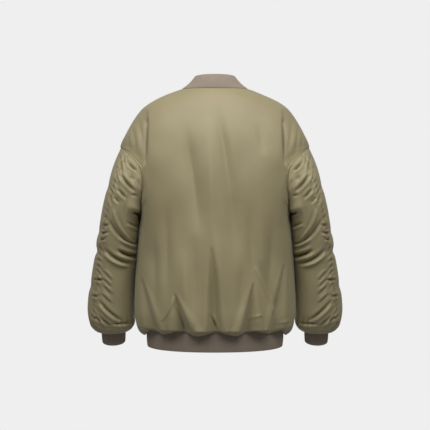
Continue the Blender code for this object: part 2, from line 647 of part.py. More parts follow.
sleeve = sleeve_shaped(sleeve_grid())
sleeve_normals = grid_normals(sleeve, ring=True)
if np.sum(sleeve_normals * (sleeve - sleeve.mean(axis=1, keepdims=True))) < 0:
    sleeve_normals = -sleeve_normals


# ------------------------------------------------------------------ seams and walls
def outward(grid, towards):
    normals = grid_normals(grid)
    return normals if np.sum(normals[..., 1]) * towards > 0 else -normals


S_ROW = len(TOP_ROWS)                                  # armhole's top in every panel
back_u = S_ROW + len(BACK_ANGLES) - 1                  # underarm row of the back
front_u = S_ROW + len(FRONT_ANGLES) - 1

back_normals = outward(back_grid, 1.0)
front_normals = {side: outward(grid, -1.0) for side, grid in front_grid.items()}


def set_edge_normals(grid, normals, u_row, cols):
    """Shared normals along the shoulder ridge and side seam, in the XZ plane."""
    for col, sign in cols:
        above, below = grid[:S_ROW + 1, col], grid[u_row:, col]
        for rows, line in ((slice(0, S_ROW + 1), above), (slice(u_row, len(grid)), below)):
            d = np.gradient(line, axis=0)
            n = unit(np.column_stack((-d[:, 2] * sign, np.zeros(len(d)), d[:, 0] * sign)))
            normals[rows, col] = n


set_edge_normals(back_grid, back_normals, back_u, ((-1, 1.0), (0, -1.0)))
for side in ("left", "right"):
    grid, normals = front_grid[side], front_normals[side]
    set_edge_normals(grid, normals, front_u, ((-1, 1.0),))
    normals[:, 0, 0] = 0.0
    normals[:, 0] = unit(normals[:, 0])


def mitre(along, into_body, into_sleeve, body_hint, sleeve_hint):
    """Thickness directions that two pieces share along a seam, and the way to the first."""
    along = unit(along)
    nb, ns = unit(np.cross(along, into_body)), unit(np.cross(along, into_sleeve))
    nb *= np.sign(np.sum(nb * body_hint, axis=1))[:, None]
    ns *= np.sign(np.sum(ns * sleeve_hint, axis=1))[:, None]
    both = (nb + ns) / np.maximum(1.0 + np.sum(nb * ns, axis=1), 0.30)[:, None]
    size = np.linalg.norm(both, axis=1)[:, None]
    both *= np.minimum(1.0, 1.6 / size)
    across = unit(np.cross(along, both))
    to_body = across * np.sign(np.sum(across * into_body, axis=1))[:, None]
    return both, to_body


# body side of the armhole seam in the order of the sleeve's columns
n_back = len(BACK_ANGLES)
loop = sleeve[0]
back_edge_rows = S_ROW + np.arange(n_back)
front_edge_rows = S_ROW + np.arange(len(FRONT_ANGLES))[::-1]
fl, fn = front_grid["left"], front_normals["left"]
into_body = np.vstack((
    back_grid[back_edge_rows, -2] - back_grid[back_edge_rows, -1],
    fl[front_edge_rows[1:-1], -2] - fl[front_edge_rows[1:-1], -1]))
into_body[0] = back_grid[S_ROW - 1, -1] - back_grid[S_ROW, -1]
into_body[n_back - 1] = back_grid[back_u + 1, -1] - back_grid[back_u, -1]
body_hint = np.vstack((back_normals[back_edge_rows, -2], fn[front_edge_rows[1:-1], -2]))
body_hint[0] = (0.3, 0.0, 1.0)
body_hint[n_back - 1] = (1.0, 0.0, -0.2)
round_loop = np.roll(loop, -1, axis=0) - np.roll(loop, 1, axis=0)
shared, to_body = mitre(round_loop, into_body, sleeve[1] - sleeve[0], body_hint, sleeve_normals[1])

back_shift = np.zeros_like(back_grid)
left_shared, left_push = shared[:n_back], to_body[:n_back]
back_normals[back_edge_rows, -1] = left_shared
back_normals[back_edge_rows, 0] = left_shared * (-1.0, 1.0, 1.0)
back_shift[back_edge_rows, -1] += left_push * SEAM
back_shift[back_edge_rows, 0] += left_push * (-1.0, 1.0, 1.0) * SEAM
side_rows = np.r_[0:S_ROW + 1, back_u:len(back_grid)]
back_shift[side_rows, -1] += SEAM * unit(back_grid[side_rows, -2] - back_grid[side_rows, -1])
back_shift[side_rows, 0] += SEAM * unit(back_grid[side_rows, 1] - back_grid[side_rows, 0])

front_ring = np.concatenate(([n_back - 1], np.arange(n_back, len(loop)), [0]))[::-1]
front_shift = {}
for side in ("left", "right"):
    grid, normals = front_grid[side], front_normals[side]
    shift = np.zeros_like(grid)
    rows = S_ROW + np.arange(len(FRONT_ANGLES))
    normals[rows, -1] = shared[front_ring]
    shift[rows, -1] += to_body[front_ring] * SEAM
    side_rows = np.r_[0:S_ROW + 1, front_u:len(grid)]
    shift[side_rows, -1] += SEAM * unit(grid[side_rows, -2] - grid[side_rows, -1])
    front_shift[side] = shift
sleeve_normals[0] = shared
sleeve_shift = np.zeros_like(sleeve)
sleeve_shift[0] = -to_body * SEAM


def two_sides(grid, normals, thick):
    return grid + normals * (0.5 * thick), grid - normals * (0.5 * thick)


def shell_panel(name, grid, normals, shift, butt_row=None):
    """A panel of the shell; its last row may end square on the face of a rib."""
    normals = normals.copy()
    if butt_row is not None:
        normals[-1] = butt_row * 1.15
    outer, inner = two_sides(grid, normals, WALL)
    return wall(name, outer + shift, inner + shift, "satin_nylon")


def around(of_left, of_back, of_right):
    """One row from the zip's left edge round the back to its right edge."""
    return np.vstack((of_left, of_back[::-1][1:], of_right[::-1][1:] * (-1.0, 1.0, 1.0)))


# ------------------------------------------------------------------ the collar
neck = around(front_grid["left"][0], back_grid[0], front_grid["right"][0])
into_neck = around(front_grid["left"][1], back_grid[1], front_grid["right"][1]) - neck
neck_hint = around(front_normals["left"][0], back_normals[0], front_normals["right"][0])
from_axis = neck[:, :2] - (0.0, Y_MID)
turn = np.arctan2(np.abs(from_axis[:, 0]) / NECK_HALF_WIDTH, from_axis[:, 1] / NECK_HALF_DEPTH)
side_part = np.sin(turn) ** 2
back_part = (1.0 - side_part) * (from_axis[:, 1] > 0)
front_part = (1.0 - side_part) * (from_axis[:, 1] <= 0)
rows = []
for up, lean_back, lean_side, lean_front in COLLAR:
    lean = back_part * lean_back + side_part * lean_side + front_part * lean_front
    row = neck.copy()
    row[:, :2] -= unit(from_axis) * lean[:, None]
    row[:, 2] += up * (1.0 - side_part * (1.0 - COLLAR_SIDE_HEIGHT))
    row[0, 0], row[-1, 0] = ZIP_EDGE, -ZIP_EDGE
    rows.append(row)
collar = np.array(rows)
collar_normals = grid_normals(collar)
if np.sum(collar_normals[..., 1] * collar[..., 1]) < 0:
    collar_normals = -collar_normals
collar_normals[:, (0, -1), 0] = 0.0
collar_normals = unit(collar_normals)
neck_shared, neck_push = mitre(np.gradient(neck, axis=0), into_neck, collar[1] - collar[0],
                               neck_hint, collar_normals[1])
neck_shared[(0, -1), 0] = 0.0
collar_normals[0] = neck_shared
collar_shift = np.zeros_like(collar)
collar_shift[0] = -neck_push * SEAM
outer, inner = two_sides(collar, collar_normals, RIB_WALL)
wall("collar_rib", outer + collar_shift, inner + collar_shift, "rib_knit")

n_front = COLS + 1
front_normals["left"][0] = neck_shared[:n_front]
back_normals[0] = neck_shared[n_front - 1:n_front + 2 * COLS][::-1]
front_normals["right"][0] = neck_shared[::-1][:n_front] * (-1.0, 1.0, 1.0)
front_shift["left"][0] += neck_push[:n_front] * SEAM
back_shift[0] += neck_push[n_front - 1:n_front + 2 * COLS][::-1] * SEAM
front_shift["right"][0] += (neck_push[::-1][:n_front] * (-1.0, 1.0, 1.0)) * SEAM

# ------------------------------------------------------------------ the shell's panels
DOWN = np.array((0.0, 0.0, -1.0))
shell_panel("back_panel", back_grid, back_normals, back_shift, DOWN)
shell_panel("front_left", front_grid["left"], front_normals["left"], front_shift["left"], DOWN)
shell_panel("front_right", mirrored(front_grid["right"]), mirrored(front_normals["right"]),
            mirrored(front_shift["right"]), DOWN)

FOREARM = np.array((0.0, -math.sin(CUFF_TILT), -math.cos(CUFF_TILT)))
count = len(SLEEVE_ANGLES)
back_cols = np.arange(SEAM_COL, UNDER_COL + 1)
front_cols = np.arange(UNDER_COL, count + SEAM_COL + 1) % count
for side, flip in (("left", 1.0), ("right", -1.0)):
    for piece, cols in (("back", back_cols), ("front", front_cols)):
        grid = sleeve[:, cols] * (flip, 1.0, 1.0)
        normals = sleeve_normals[:, cols] * (flip, 1.0, 1.0)
        shift = sleeve_shift[:, cols] * (flip, 1.0, 1.0)
        shift[:, 0] += SEAM * unit(grid[:, 1] - grid[:, 0])
        shift[:, -1] += SEAM * unit(grid[:, -2] - grid[:, -1])
        shell_panel("sleeve_%s_%s" % (side, piece), grid, normals, shift, FOREARM)

# ------------------------------------------------------------------ hem rib and cuffs
rows = []
for z, inset in HEM_RIB:
    half_b = half_row(hem_section(True, inset=inset), False)
    half_b = np.vstack((half_b[:0:-1] * (-1.0, 1.0), half_b))
    half_f = half_row(hem_section(False, inset=inset), False, ZIP_EDGE)
    flat = [np.column_stack((h, np.full(len(h), z))) for h in (half_f, half_b, half_f)]
    rows.append(around(*flat))
hem = np.array(rows)
hem_normals = grid_normals(hem)
if np.sum(hem_normals[..., 1] * hem[..., 1]) < 0:
    hem_normals = -hem_normals
hem_normals[..., 2] = 0.0
hem_normals[:, (0, -1), 0] = 0.0
hem_normals = unit(hem_normals)
wall("hem_rib", hem, hem - hem_normals * RIB_WALL, "rib_knit")

for side, flip in (("left", 1.0), ("right", -1.0)):
    outer = np.array([cuff_ring(below, grow=-inset) for below, inset in CUFF_RIB]) * (flip, 1.0, 1.0)
    inner = np.array([cuff_ring(below, grow=-inset - RIB_WALL) for below, inset in CUFF_RIB])
    inner *= (flip, 1.0, 1.0)
    wall("cuff_" + side, outer, inner, "rib_knit", ring=True)

# ------------------------------------------------------------------ the zip
flat_part = half_front[:-1, 0, 1:]
hem_face = -(HEM_HALF_DEPTH - 0.5 * RIB_WALL)
line = np.vstack((flat_part, (hem_face, HEM_SEAM_Z - 0.006), (hem_face + HEM_RIB[-1][1], HEM_RIB[-1][0])))
length = np.concatenate(([0.0], np.cumsum(np.linalg.norm(np.diff(line, axis=0), axis=1))))
marks = np.concatenate((np.arange(0.0, length[-3] - 0.01, ZIP_STEP), length[-3:]))
path = np.column_stack([np.interp(marks, length, line[:, c]) for c in (0, 1)])
run = unit(np.gradient(path, axis=0))
out = np.column_stack((run[:, 1], -run[:, 0]))
out *= np.where(out[:, :1] > 0, -1.0, 1.0)

half_tape, half_chain = 0.5 * ZIP_TAPE_WALL, 0.5 * CHAIN_THICK
TAPE_SECTION = ((ZIP_TAPE_TO, half_tape), (CHAIN_TO, half_tape), (CHAIN_TO, half_chain),
                (CHAIN_FROM, half_chain), (CHAIN_FROM, -half_chain), (CHAIN_TO, -half_chain),
                (CHAIN_TO, -half_tape), (ZIP_TAPE_TO, -half_tape))
for side, flip in (("left", 1.0), ("right", -1.0)):
    bm = bmesh.new()
    loops = [[bm.verts.new((flip * x, y + ny * lift, z + nz * lift)) for x, lift in TAPE_SECTION]
             for (y, z), (ny, nz) in zip(path, out)]
    for first, second in zip(loops, loops[1:]):
        for i in range(len(first)):
            j = (i + 1) % len(first)
            bm.faces.new((first[i], first[j], second[j], second[i]))
    bm.faces.new(loops[0])
    bm.faces.new(loops[-1])
    finish("zip_tape_" + side, bm, "zip_tape")

down = unit(path[1] - path[0])
head = bpy.data.objects.new("zip_head", None)
head.location = (0.0, *(path[0] + down * SLIDER_DOWN))
head.rotation_euler = (-math.atan2(-down[0], -down[1]), 0.0, 0.0)
bpy.context.scene.collection.objects.link(head)


def extruded(outline, axis, half):
    """A closed block: an outline extruded along x or y, from -half to half."""
    bm = bmesh.new()
    sides = []
    for at in (-half, half):
        sides.append([bm.verts.new((at, a, b) if axis == "x" else (a, at, b)) for a, b in outline])
    for i in range(len(outline)):
        j = (i + 1) % len(outline)
        bm.faces.new((sides[0][i], sides[0][j], sides[1][j], sides[1][i]))
    bm.faces.new(sides[0])
    bm.faces.new(sides[1])
    return bm


def boolean(target, tool, operation):
    tool.hide_render = True
    tool.display_type = "WIRE"
    modifier = target.modifiers.new(operation.title(), "BOOLEAN")
    modifier.operation = operation
    modifier.object = tool


def bevel(target, width):
    modifier = target.modifiers.new("Bevel", "BEVEL")
    modifier.width = width
    modifier.segments = 2
    modifier.limit_method = "ANGLE"
    modifier.angle_limit = math.radians(40.0)


slot_top = SLIDER_DOWN + SLOT_PLAY
slider = finish("zip_slider", extruded((
    (-PLATE_OUTER, PLATE_BOTTOM), (-PLATE_OUTER, PLATE_TOP), (PLATE_OUTER, PLATE_TOP),
    (PLATE_OUTER, PLATE_BOTTOM), (PLATE_INNER, PLATE_BOTTOM), (PLATE_INNER, slot_top),
    (-PLATE_INNER, slot_top), (-PLATE_INNER, PLATE_BOTTOM)), "x", SLIDER_HALF_WIDTH),
    "zip_metal", parent=head)
c0, c1, c2, c3 = CROWN_Z
root = -(PLATE_OUTER - CROWN_SUNK)
crown = finish("slider_crown", extruded((
    (root, c0), (-CROWN_OUTER + CROWN_CUT, c0), (-CROWN_OUTER, c0 + CROWN_CUT),
    (-CROWN_OUTER, c3 - CROWN_CUT), (-CROWN_OUTER + CROWN_CUT, c3), (root, c3), (root, c2),
    (-CROWN_INNER, c2), (-CROWN_INNER, c1), (root, c1)),
    "x", CROWN_HALF_WIDTH), "zip_metal", parent=head)
boolean(slider, crown, "UNION")
bevel(slider, 0.0003)

outline = [(x, z) for x, z in PULL_OUTLINE] + [(-x, z) for x, z in reversed(PULL_OUTLINE)]
pull = finish("zip_pull", extruded(outline, "y", 0.5 * PULL_THICK), "zip_metal",
              location=(0.0, HINGE_Y, HINGE_Z), parent=head)
hole = finish("pull_hole", extruded((
    (PULL_HOLE_HALF_WIDTH, -PULL_BAR), (PULL_HOLE_HALF_WIDTH, PULL_HOLE_END),
    (-PULL_HOLE_HALF_WIDTH, PULL_HOLE_END), (-PULL_HOLE_HALF_WIDTH, -PULL_BAR)), "y", 0.003), "zip_metal",
    location=(0.0, HINGE_Y, HINGE_Z), parent=head)
boolean(pull, hole, "DIFFERENCE")
bevel(pull, 0.00025)
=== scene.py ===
"""Bomber jacket, filled out as worn with no wearer in it, seen from behind.

Metres, +Z up, the wearer's left on +X, the front faces -Y, as in the frame. Tables of folds and
of sewing are in millimetres, because that is how a maker reads them.
"""
import math

import bpy
import numpy as np
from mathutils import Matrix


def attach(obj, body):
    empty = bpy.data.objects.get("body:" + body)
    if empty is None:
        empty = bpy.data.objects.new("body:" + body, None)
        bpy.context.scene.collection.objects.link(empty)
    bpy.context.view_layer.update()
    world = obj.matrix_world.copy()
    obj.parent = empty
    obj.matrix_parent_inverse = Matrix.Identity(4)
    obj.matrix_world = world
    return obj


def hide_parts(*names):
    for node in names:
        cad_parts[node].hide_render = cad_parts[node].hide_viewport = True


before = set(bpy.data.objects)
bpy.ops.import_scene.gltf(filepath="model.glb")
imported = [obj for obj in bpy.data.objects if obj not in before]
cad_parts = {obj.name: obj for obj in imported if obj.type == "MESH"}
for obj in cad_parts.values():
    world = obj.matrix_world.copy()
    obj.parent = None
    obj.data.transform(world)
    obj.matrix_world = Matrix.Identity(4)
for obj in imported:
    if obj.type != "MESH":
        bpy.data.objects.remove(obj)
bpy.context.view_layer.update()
MM = 0.001

# ================================================================== the studio
# A pale surround and a grey round floor far below the hanging jacket. One wide soft lamp stands
# high behind the wearer's back, a weak one lights the front from low down, and the surround's own
# light comes mostly from above.
CAMERA_AWAY = 2.5
CAMERA_Z = -0.3375
FRAME_WIDTH = 1.161            # what the picture takes in at the jacket's middle
SENSOR = 36.0
FLOOR_Z = -1.62
FLOOR_RADIUS = 2.3
FLOOR_SIDES = 96
FLOOR_GREY = 0.40, 0.48        # its paint is mottled between these
LAMP_TARGET_Z = -0.30
PALE = "EFEFEF"
FILL_BELOW, FILL_ABOVE = 0.02, 0.44       # light from the surround, from low down to straight above
FILL_FROM = -0.4               # how far down, as a direction's z, it is at its weakest
LAMPS = (
    # name,        place,             width, height, watts
    ("key_lamp",   (0.00, 1.36, 1.28), 3.80, 1.60, 64.0),
    ("front_lamp", (0.00, -2.20, -1.05), 1.50, 1.50, 7.0),
)


def linear(text):
    """A colour's sRGB hex value as linear red, green and blue, and full alpha."""
    srgb = np.array([int(text[i:i + 2], 16) for i in (0, 2, 4)]) / 255.0
    low, high = srgb / 12.92, ((srgb + 0.055) / 1.055) ** 2.4
    return (*np.where(srgb <= 0.04045, low, high), 1.0)


def add(tree, kind, settings=None, links=()):
    """Adds a node: settings are its properties or its sockets' values by name or number, and
    links are (its socket, the node that feeds it, that node's output)."""
    made = tree.nodes.new(kind)
    for key, value in (settings or {}).items():
        if isinstance(key, str) and hasattr(made, key):
            setattr(made, key, value)
        else:
            made.inputs[key].default_value = value
    for socket, source, output in links:
        tree.links.new(source.outputs[output], made.inputs[socket])
    return made


def surface(name, **settings):
    """A new material, its tree and its shader, whose sockets take the settings."""
    made = bpy.data.materials.new(name)
    made.use_nodes = True
    shader = made.node_tree.nodes["Principled BSDF"]
    for key, value in settings.items():
        shader.inputs[key.replace("_", " ")].default_value = value
    return made, made.node_tree, shader


def aim(thing, target):
    """Turns a camera or lamp so that it looks from its place to the target."""
    away = np.array(target) - np.array(thing.location)
    flat = math.hypot(away[0], away[1])
    thing.rotation_euler = (math.atan2(flat, -away[2]), 0.0, math.atan2(-away[0], away[1]))


scene = bpy.context.scene
scene.view_settings.view_transform = "Standard"
camera = bpy.data.objects.new("camera", bpy.data.cameras.new("camera"))
camera.data.sensor_width = SENSOR
camera.data.lens = SENSOR * CAMERA_AWAY / FRAME_WIDTH
camera.location = (0.0, CAMERA_AWAY, CAMERA_Z)
aim(camera, (0.0, 0.0, CAMERA_Z))
scene.collection.objects.link(camera)
scene.camera = camera

for name, place, width, height, watts in LAMPS:
    lamp = bpy.data.objects.new(name, bpy.data.lights.new(name, "AREA"))
    lamp.data.shape = "ELLIPSE"
    lamp.data.size = width
    lamp.data.size_y = height
    lamp.data.energy = watts
    lamp.location = place
    aim(lamp, (0.0, 0.0, LAMP_TARGET_Z))
    scene.collection.objects.link(lamp)

room = bpy.data.worlds.new("pale_surround")
room.use_nodes = True
tree = room.node_tree
tree.nodes.clear()
seen = add(tree, "ShaderNodeLightPath")
way = add(tree, "ShaderNodeTexCoord")
rise = add(tree, "ShaderNodeSeparateXYZ", None, (("Vector", way, "Generated"),))
fill = add(tree, "ShaderNodeMapRange",
           {"From Min": FILL_FROM, "From Max": 1.0, "To Min": FILL_BELOW, "To Max": FILL_ABOVE},
           (("Value", rise, "Z"),))
seen_pale = add(tree, "ShaderNodeBackground", {"Color": linear(PALE), "Strength": 1.0})
fill_pale = add(tree, "ShaderNodeBackground", {"Color": linear(PALE)}, (("Strength", fill, "Result"),))
pick = add(tree, "ShaderNodeMixShader", None,
           ((0, seen, "Is Camera Ray"), (1, fill_pale, 0), (2, seen_pale, 0)))
add(tree, "ShaderNodeOutputWorld", None, (("Surface", pick, 0),))
scene.world = room

turn = np.linspace(0.0, 2.0 * math.pi, FLOOR_SIDES + 1)[:-1]
disc = np.column_stack((FLOOR_RADIUS * np.cos(turn), FLOOR_RADIUS * np.sin(turn),
                        np.full(FLOOR_SIDES, FLOOR_Z)))
floor_mesh = bpy.data.meshes.new("floor")
floor_mesh.from_pydata(disc.tolist(), [], [list(range(FLOOR_SIDES))])
floor = bpy.data.objects.new("floor", floor_mesh)
paint, tree, shader = surface("matt_floor_paint", Roughness=0.9)
mottle = add(tree, "ShaderNodeTexNoise", {"Scale": 2.0, "Detail": 3.0})
shade = add(tree, "ShaderNodeMapRange", {"To Min": FLOOR_GREY[0], "To Max": FLOOR_GREY[1]},
            (("Value", mottle, "Fac"),))
tree.links.new(shade.outputs["Result"], shader.inputs["Base Color"])
floor_mesh.materials.append(paint)
scene.collection.objects.link(floor)

# ================================================================== the shell cloth
# Nylon flight satin in olive khaki: a warp-faced weave of bright filament yarn. The long floats
# throw back a broad soft highlight, the hollows fall to a warm brown, and it crinkles finely.
SATIN_LIGHT = "9B9170"
SATIN_DARK = "857A59"
SATIN_SHEEN = "DAD5C0"
FLOAT_PITCH = 1.1 * MM         # one diagonal of floats, drawn at three times its size so that it shows
CRINKLE = 14.0 * MM            # spacing of the finest creases left by wear
BAND = 0.31                    # metres between a band texture's bands at scale 1


def seam_shade(tree, colour, shader):
    """Paints shade into a cloth's colour in the furrow of a sewn edge, from its distance in metres."""
    edge = add(tree, "ShaderNodeAttribute", {"attribute_name": "from_seam"})
    depth = add(tree, "ShaderNodeMapRange",
                {"From Min": 0.3 * MM, "From Max": 2.2 * MM, "To Min": 0.62, "To Max": 1.0},
                (("Value", edge, "Fac"),))
    dimmed = add(tree, "ShaderNodeMix", {"data_type": "RGBA", "blend_type": "MULTIPLY", "Factor": 1.0},
                 ((6, colour[0], colour[1]), (7, depth, "Result")))
    tree.links.new(dimmed.outputs[2], shader.inputs["Base Color"])


satin, tree, shader = surface("nylon_flight_satin", Roughness=0.52, IOR=1.53, Sheen_Weight=0.30,
                              Sheen_Roughness=0.45, Sheen_Tint=linear(SATIN_SHEEN), Specular_IOR_Level=0.42)
cut = add(tree, "ShaderNodeUVMap", {"uv_map": "cut"})
dye = add(tree, "ShaderNodeTexNoise", {"Scale": 5.0, "Detail": 4.0, "Roughness": 0.6},
          (("Vector", cut, "UV"),))
tone = add(tree, "ShaderNodeMix", {"data_type": "RGBA", 6: linear(SATIN_DARK), 7: linear(SATIN_LIGHT)},
           ((0, dye, "Fac"),))
# painted shade: the satin's colour is darkened in the furrows beside its seams and topstitching
seam_shade(tree, (tone, 2), shader)
floats = add(tree, "ShaderNodeTexWave",
             {"wave_type": "BANDS", "bands_direction": "DIAGONAL", "Scale": BAND / FLOAT_PITCH,
              "Distortion": 0.6, "Detail": 1.0}, (("Vector", cut, "UV"),))
crinkle = add(tree, "ShaderNodeTexNoise",
              {"Scale": 1.0 / CRINKLE, "Detail": 5.0, "Roughness": 0.62, "Distortion": 0.4},
              (("Vector", cut, "UV"),))
weave_bump = add(tree, "ShaderNodeBump", {"Strength": 0.10, "Distance": 0.15 * MM},
                 (("Height", floats, "Fac"),))
cloth_bump = add(tree, "ShaderNodeBump", {"Strength": 0.30, "Distance": 0.9 * MM},
                 (("Height", crinkle, "Fac"), ("Normal", weave_bump, "Normal")))
tree.links.new(cloth_bump.outputs["Normal"], shader.inputs["Normal"])
shine = add(tree, "ShaderNodeMapRange", {"To Min": 0.48, "To Max": 0.62}, (("Value", crinkle, "Fac"),))
tree.links.new(shine.outputs["Result"], shader.inputs["Roughness"])


# ================================================================== the back
# One piece of satin from the neck to the hem, with dropped shoulders. It is laid as smooth half
# sections at heights from the neck to the hem seam, then folded, and its lower edge blouses over
# the rib and is gathered into it.
WALL = 2.4 * MM
SEAM = 0.05 * MM               # half the gap between two pieces at a seam
Y_MID = -0.005
HEM_SEAM_Z = -0.631
HEM_HALF_WIDTH, HEM_HALF_DEPTH = 0.1850, 0.1350
ZIP_EDGE = 0.0098
ZIP_EASE, ZIP_EASE_REACH = 0.009, 0.050      # how far the fronts draw in beside the zip, over what width
ZIP_EASE_TOP, ZIP_EASE_FADE = -0.42, 0.20    # below this height, over this much of it
NECK_FRONT_DROP, NECK_FRONT_REACH = 0.085, 0.40    # how far the neck seam dips, fading over what height
NECK_BACK_DROP, NECK_BACK_REACH = 0.005, 0.05
INNER_COLS, OUTER_COLS = 9, 5  # columns from the centre to the crease by the arm, and beyond it
EASE_REACH = 0.030             # reach of the running mean that evens out the sections
EASE_EDGE = 0.060              # distance from an armhole over which that mean sets in
EASE_TOP, EASE_TOP_FADE = -0.05, 0.06
EASE_LOW, EASE_LOW_FADE = -0.38, 0.08
ARMHOLE_BLEND = 0.055          # height over which a section opens at the armhole
FOLLOW_COLS = 24               # fine columns that follow a side edge onto its seam line

BODY = (
    # z, the centre's y, then x and y of the blade, the crease by the arm, the shoulder's cap and the
    # edge, all of the back, and the front's depth as a share of the back's
    (0.000, 0.0780, 0.044, 0.068, 0.073, 0.044, 0.0865, 0.020, 0.0900, -0.005, 1.084),
    (-.011, 0.0860, 0.053, 0.077, 0.092, 0.050, 0.1130, 0.023, 0.1200, -0.005, 1.050),
    (-.022, 0.0930, 0.062, 0.084, 0.112, 0.055, 0.1370, 0.026, 0.1465, -0.005, 1.020),
    (-.043, 0.1030, 0.076, 0.0952, 0.141, 0.0630, 0.1715, 0.0306, 0.1845, -0.005, 0.980),
    (-.065, 0.1120, 0.085, 0.1040, 0.161, 0.0700, 0.1920, 0.0370, 0.2075, -0.005, 0.950),
    (-.086, 0.1200, 0.091, 0.1115, 0.172, 0.0800, 0.2030, 0.0460, 0.2220, -0.005, 0.930),
    (-.108, 0.1280, 0.095, 0.1188, 0.179, 0.0880, 0.2100, 0.0560, 0.2340, -0.005, 0.920),
    (-.130, 0.1342, 0.098, 0.1248, 0.182, 0.0945, 0.2150, 0.0655, 0.2450, -0.005, 0.915),
    (-.156, 0.1395, 0.100, 0.1298, 0.183, 0.1005, 0.2160, 0.0740, 0.2535, -0.005, 0.910),
    (-.172, 0.1422, 0.101, 0.1323, 0.182, 0.1045, 0.2070, 0.0815, 0.2350,  0.058, 0.905),
    (-.195, 0.1457, 0.103, 0.1353, 0.179, 0.1090, 0.1950, 0.0940, 0.2100,  0.084, 0.900),
    (-.222, 0.1489, 0.104, 0.1380, 0.176, 0.1115, 0.1870, 0.1030, 0.1925,  0.094, 0.900),
    (-.272, 0.1532, 0.105, 0.1405, 0.171, 0.1135, 0.1820, 0.1045, 0.1890,  0.092, 0.895),
    (-.306, 0.1553, 0.105, 0.1405, 0.168, 0.1120, 0.1850, 0.0910, 0.1940,  0.065, 0.895),
    (-.322, 0.1562, 0.105, 0.1400, 0.168, 0.1095, 0.1870, 0.0760, 0.2010, -0.005, 0.893),
    (-.365, 0.1577, 0.1065, 0.1392, 0.169, 0.1025, 0.1910, 0.0620, 0.2020, -0.005, 0.889),
    (-.408, 0.1592, 0.1090, 0.1390, 0.1725, 0.0963, 0.1972, 0.0502, 0.2065, -0.005, 0.891),
    (-.450, 0.1605, 0.1111, 0.1398, 0.1745, 0.0923, 0.2010, 0.0456, 0.2105, -0.005, 0.894),
)
WAIST = (
    # z,     width,  back,   front
    (-.322, 0.1990, 0.1562, 0.1484),
    (-.334, 0.1983, 0.1566, 0.1486),
    (-.365, 0.2020, 0.1577, 0.1495),
    (-.400, 0.2060, 0.1590, 0.1510),
    (-.450, 0.2105, 0.1605, 0.1530),
    (-.500, 0.2140, 0.1625, 0.1545),
    (-.540, 0.2165, 0.1640, 0.1555),
    (-.575, 0.2170, 0.1650, 0.1550),
    (-.605, 0.2155, 0.1655, 0.1545),
    (-.626, 0.2120, 0.1635, 0.1520),
    (-.640, 0.2080, 0.1610, 0.1500),
)
SIDE_SHARE = ((0.528, 0.875), (0.829, 0.588), (0.955, 0.306))
ARMHOLE = (
    # angle, x,     y,      z
    (0.0,   0.2535, -0.005, -0.1560),
    (30.0,  0.2440,  0.033, -0.1620),
    (60.0,  0.2260,  0.066, -0.1785),
    (85.0,  0.2070,  0.086, -0.1980),
    (110.0, 0.1925,  0.094, -0.2220),
    (140.0, 0.1890,  0.092, -0.2720),
    (162.0, 0.1945,  0.060, -0.3090),
    (180.0, 0.2010, -0.005, -0.3220),
)
TOP_ROWS = (0.0, -0.011, -0.026, -0.048, -0.075, -0.103, -0.130)
BACK_ANGLES = (0.0, 20.0, 40.0, 60.0, 76.0, 93.0, 110.0, 127.0, 145.0, 162.0, 180.0)
FRONT_ANGLES = (0.0, 30.0, 60.0, 90.0, 120.0, 150.0, 180.0)
LOW_ROWS = (-0.336, -0.370, -0.408, -0.450, -0.492, -0.532, -0.570, -0.604, HEM_SEAM_Z)
COL_STEPS = 8                  # fine columns in each column of the half sections
TOP_STEPS, ARM_STEPS, LOW_STEPS = 8, 10, 14
TUCK_STEPS = 22
LINE_STEPS = 240               # steps along a half section when its columns are spaced evenly

# How the lower edge turns under: share of the blouse's overhang, share of its droop.
TUCK = ((0.84, 0.46), (0.50, 0.88), (0.10, 1.00), (0.00, 0.00))
DROOP = (
    # angle from the centre back, droop
    (-180.0, 0.0050), (-165.0, 0.0070), (-140.0, 0.0130), (-118.0, 0.0080), (-100.0, 0.0240),
    (-86.0, 0.0270), (-66.0, 0.0060), (-54.0, 0.0130), (-36.0, 0.0040), (-20.0, 0.0140),
    (-2.0, 0.0040), (17.0, 0.0145), (34.0, 0.0040), (50.0, 0.0140), (63.0, 0.0060),
    (86.0, 0.0270), (100.0, 0.0240), (118.0, 0.0080), (140.0, 0.0130), (165.0, 0.0070), (180.0, 0.0050),
)
LEAST_DROOP = 0.0035
TUCKED = 1.15                  # the tucked edge's wall against a plain one, so that it meets the rib
FAR = 1.0                      # a distance in metres that is farther than any seam's shade
SIDES = (("left", 1.0), ("right", -1.0))
MIRRORED = np.array((-1.0, 1.0, 1.0))


def unit(v):
    """Vectors of length one."""
    v = np.asarray(v, dtype=float)
    return v / np.maximum(np.linalg.norm(v, axis=-1, keepdims=True), 1e-12)


def eased(t):
    """A smooth step from 0 to 1: t squared times (3 - 2 t)."""
    return t * t * (3.0 - 2.0 * t)


def hermite(t, start, leave, stop, arrive):
    """A cubic from start to stop at t from 0 to 1, with the given slopes at its ends."""
    return (2 * t ** 3 - 3 * t ** 2 + 1) * start + (t ** 3 - 2 * t ** 2 + t) * leave \
        + (3 * t ** 2 - 2 * t ** 3) * stop + (t ** 3 - t ** 2) * arrive


def read(table, at):
    """A table's columns at the keys `at`: smooth Hermite curves through its rows."""
    rows = np.array(table, dtype=float)
    rows = rows[np.argsort(rows[:, 0])]
    key, cols = rows[:, 0], rows[:, 1:]
    slope = np.gradient(cols, key, axis=0)
    at = np.atleast_1d(np.asarray(at, dtype=float))
    i = np.clip(np.searchsorted(key, at, side="right") - 1, 0, len(key) - 2)
    step = (key[i + 1] - key[i])[:, None]
    t = np.clip((at - key[i])[:, None] / step, 0.0, 1.0)
    past = ((at - key[i])[:, None] / step - t) * step
    value = hermite(t, cols[i], step * slope[i], cols[i + 1], step * slope[i + 1])
    return value + past * np.where(t > 0.5, slope[i + 1], slope[i])


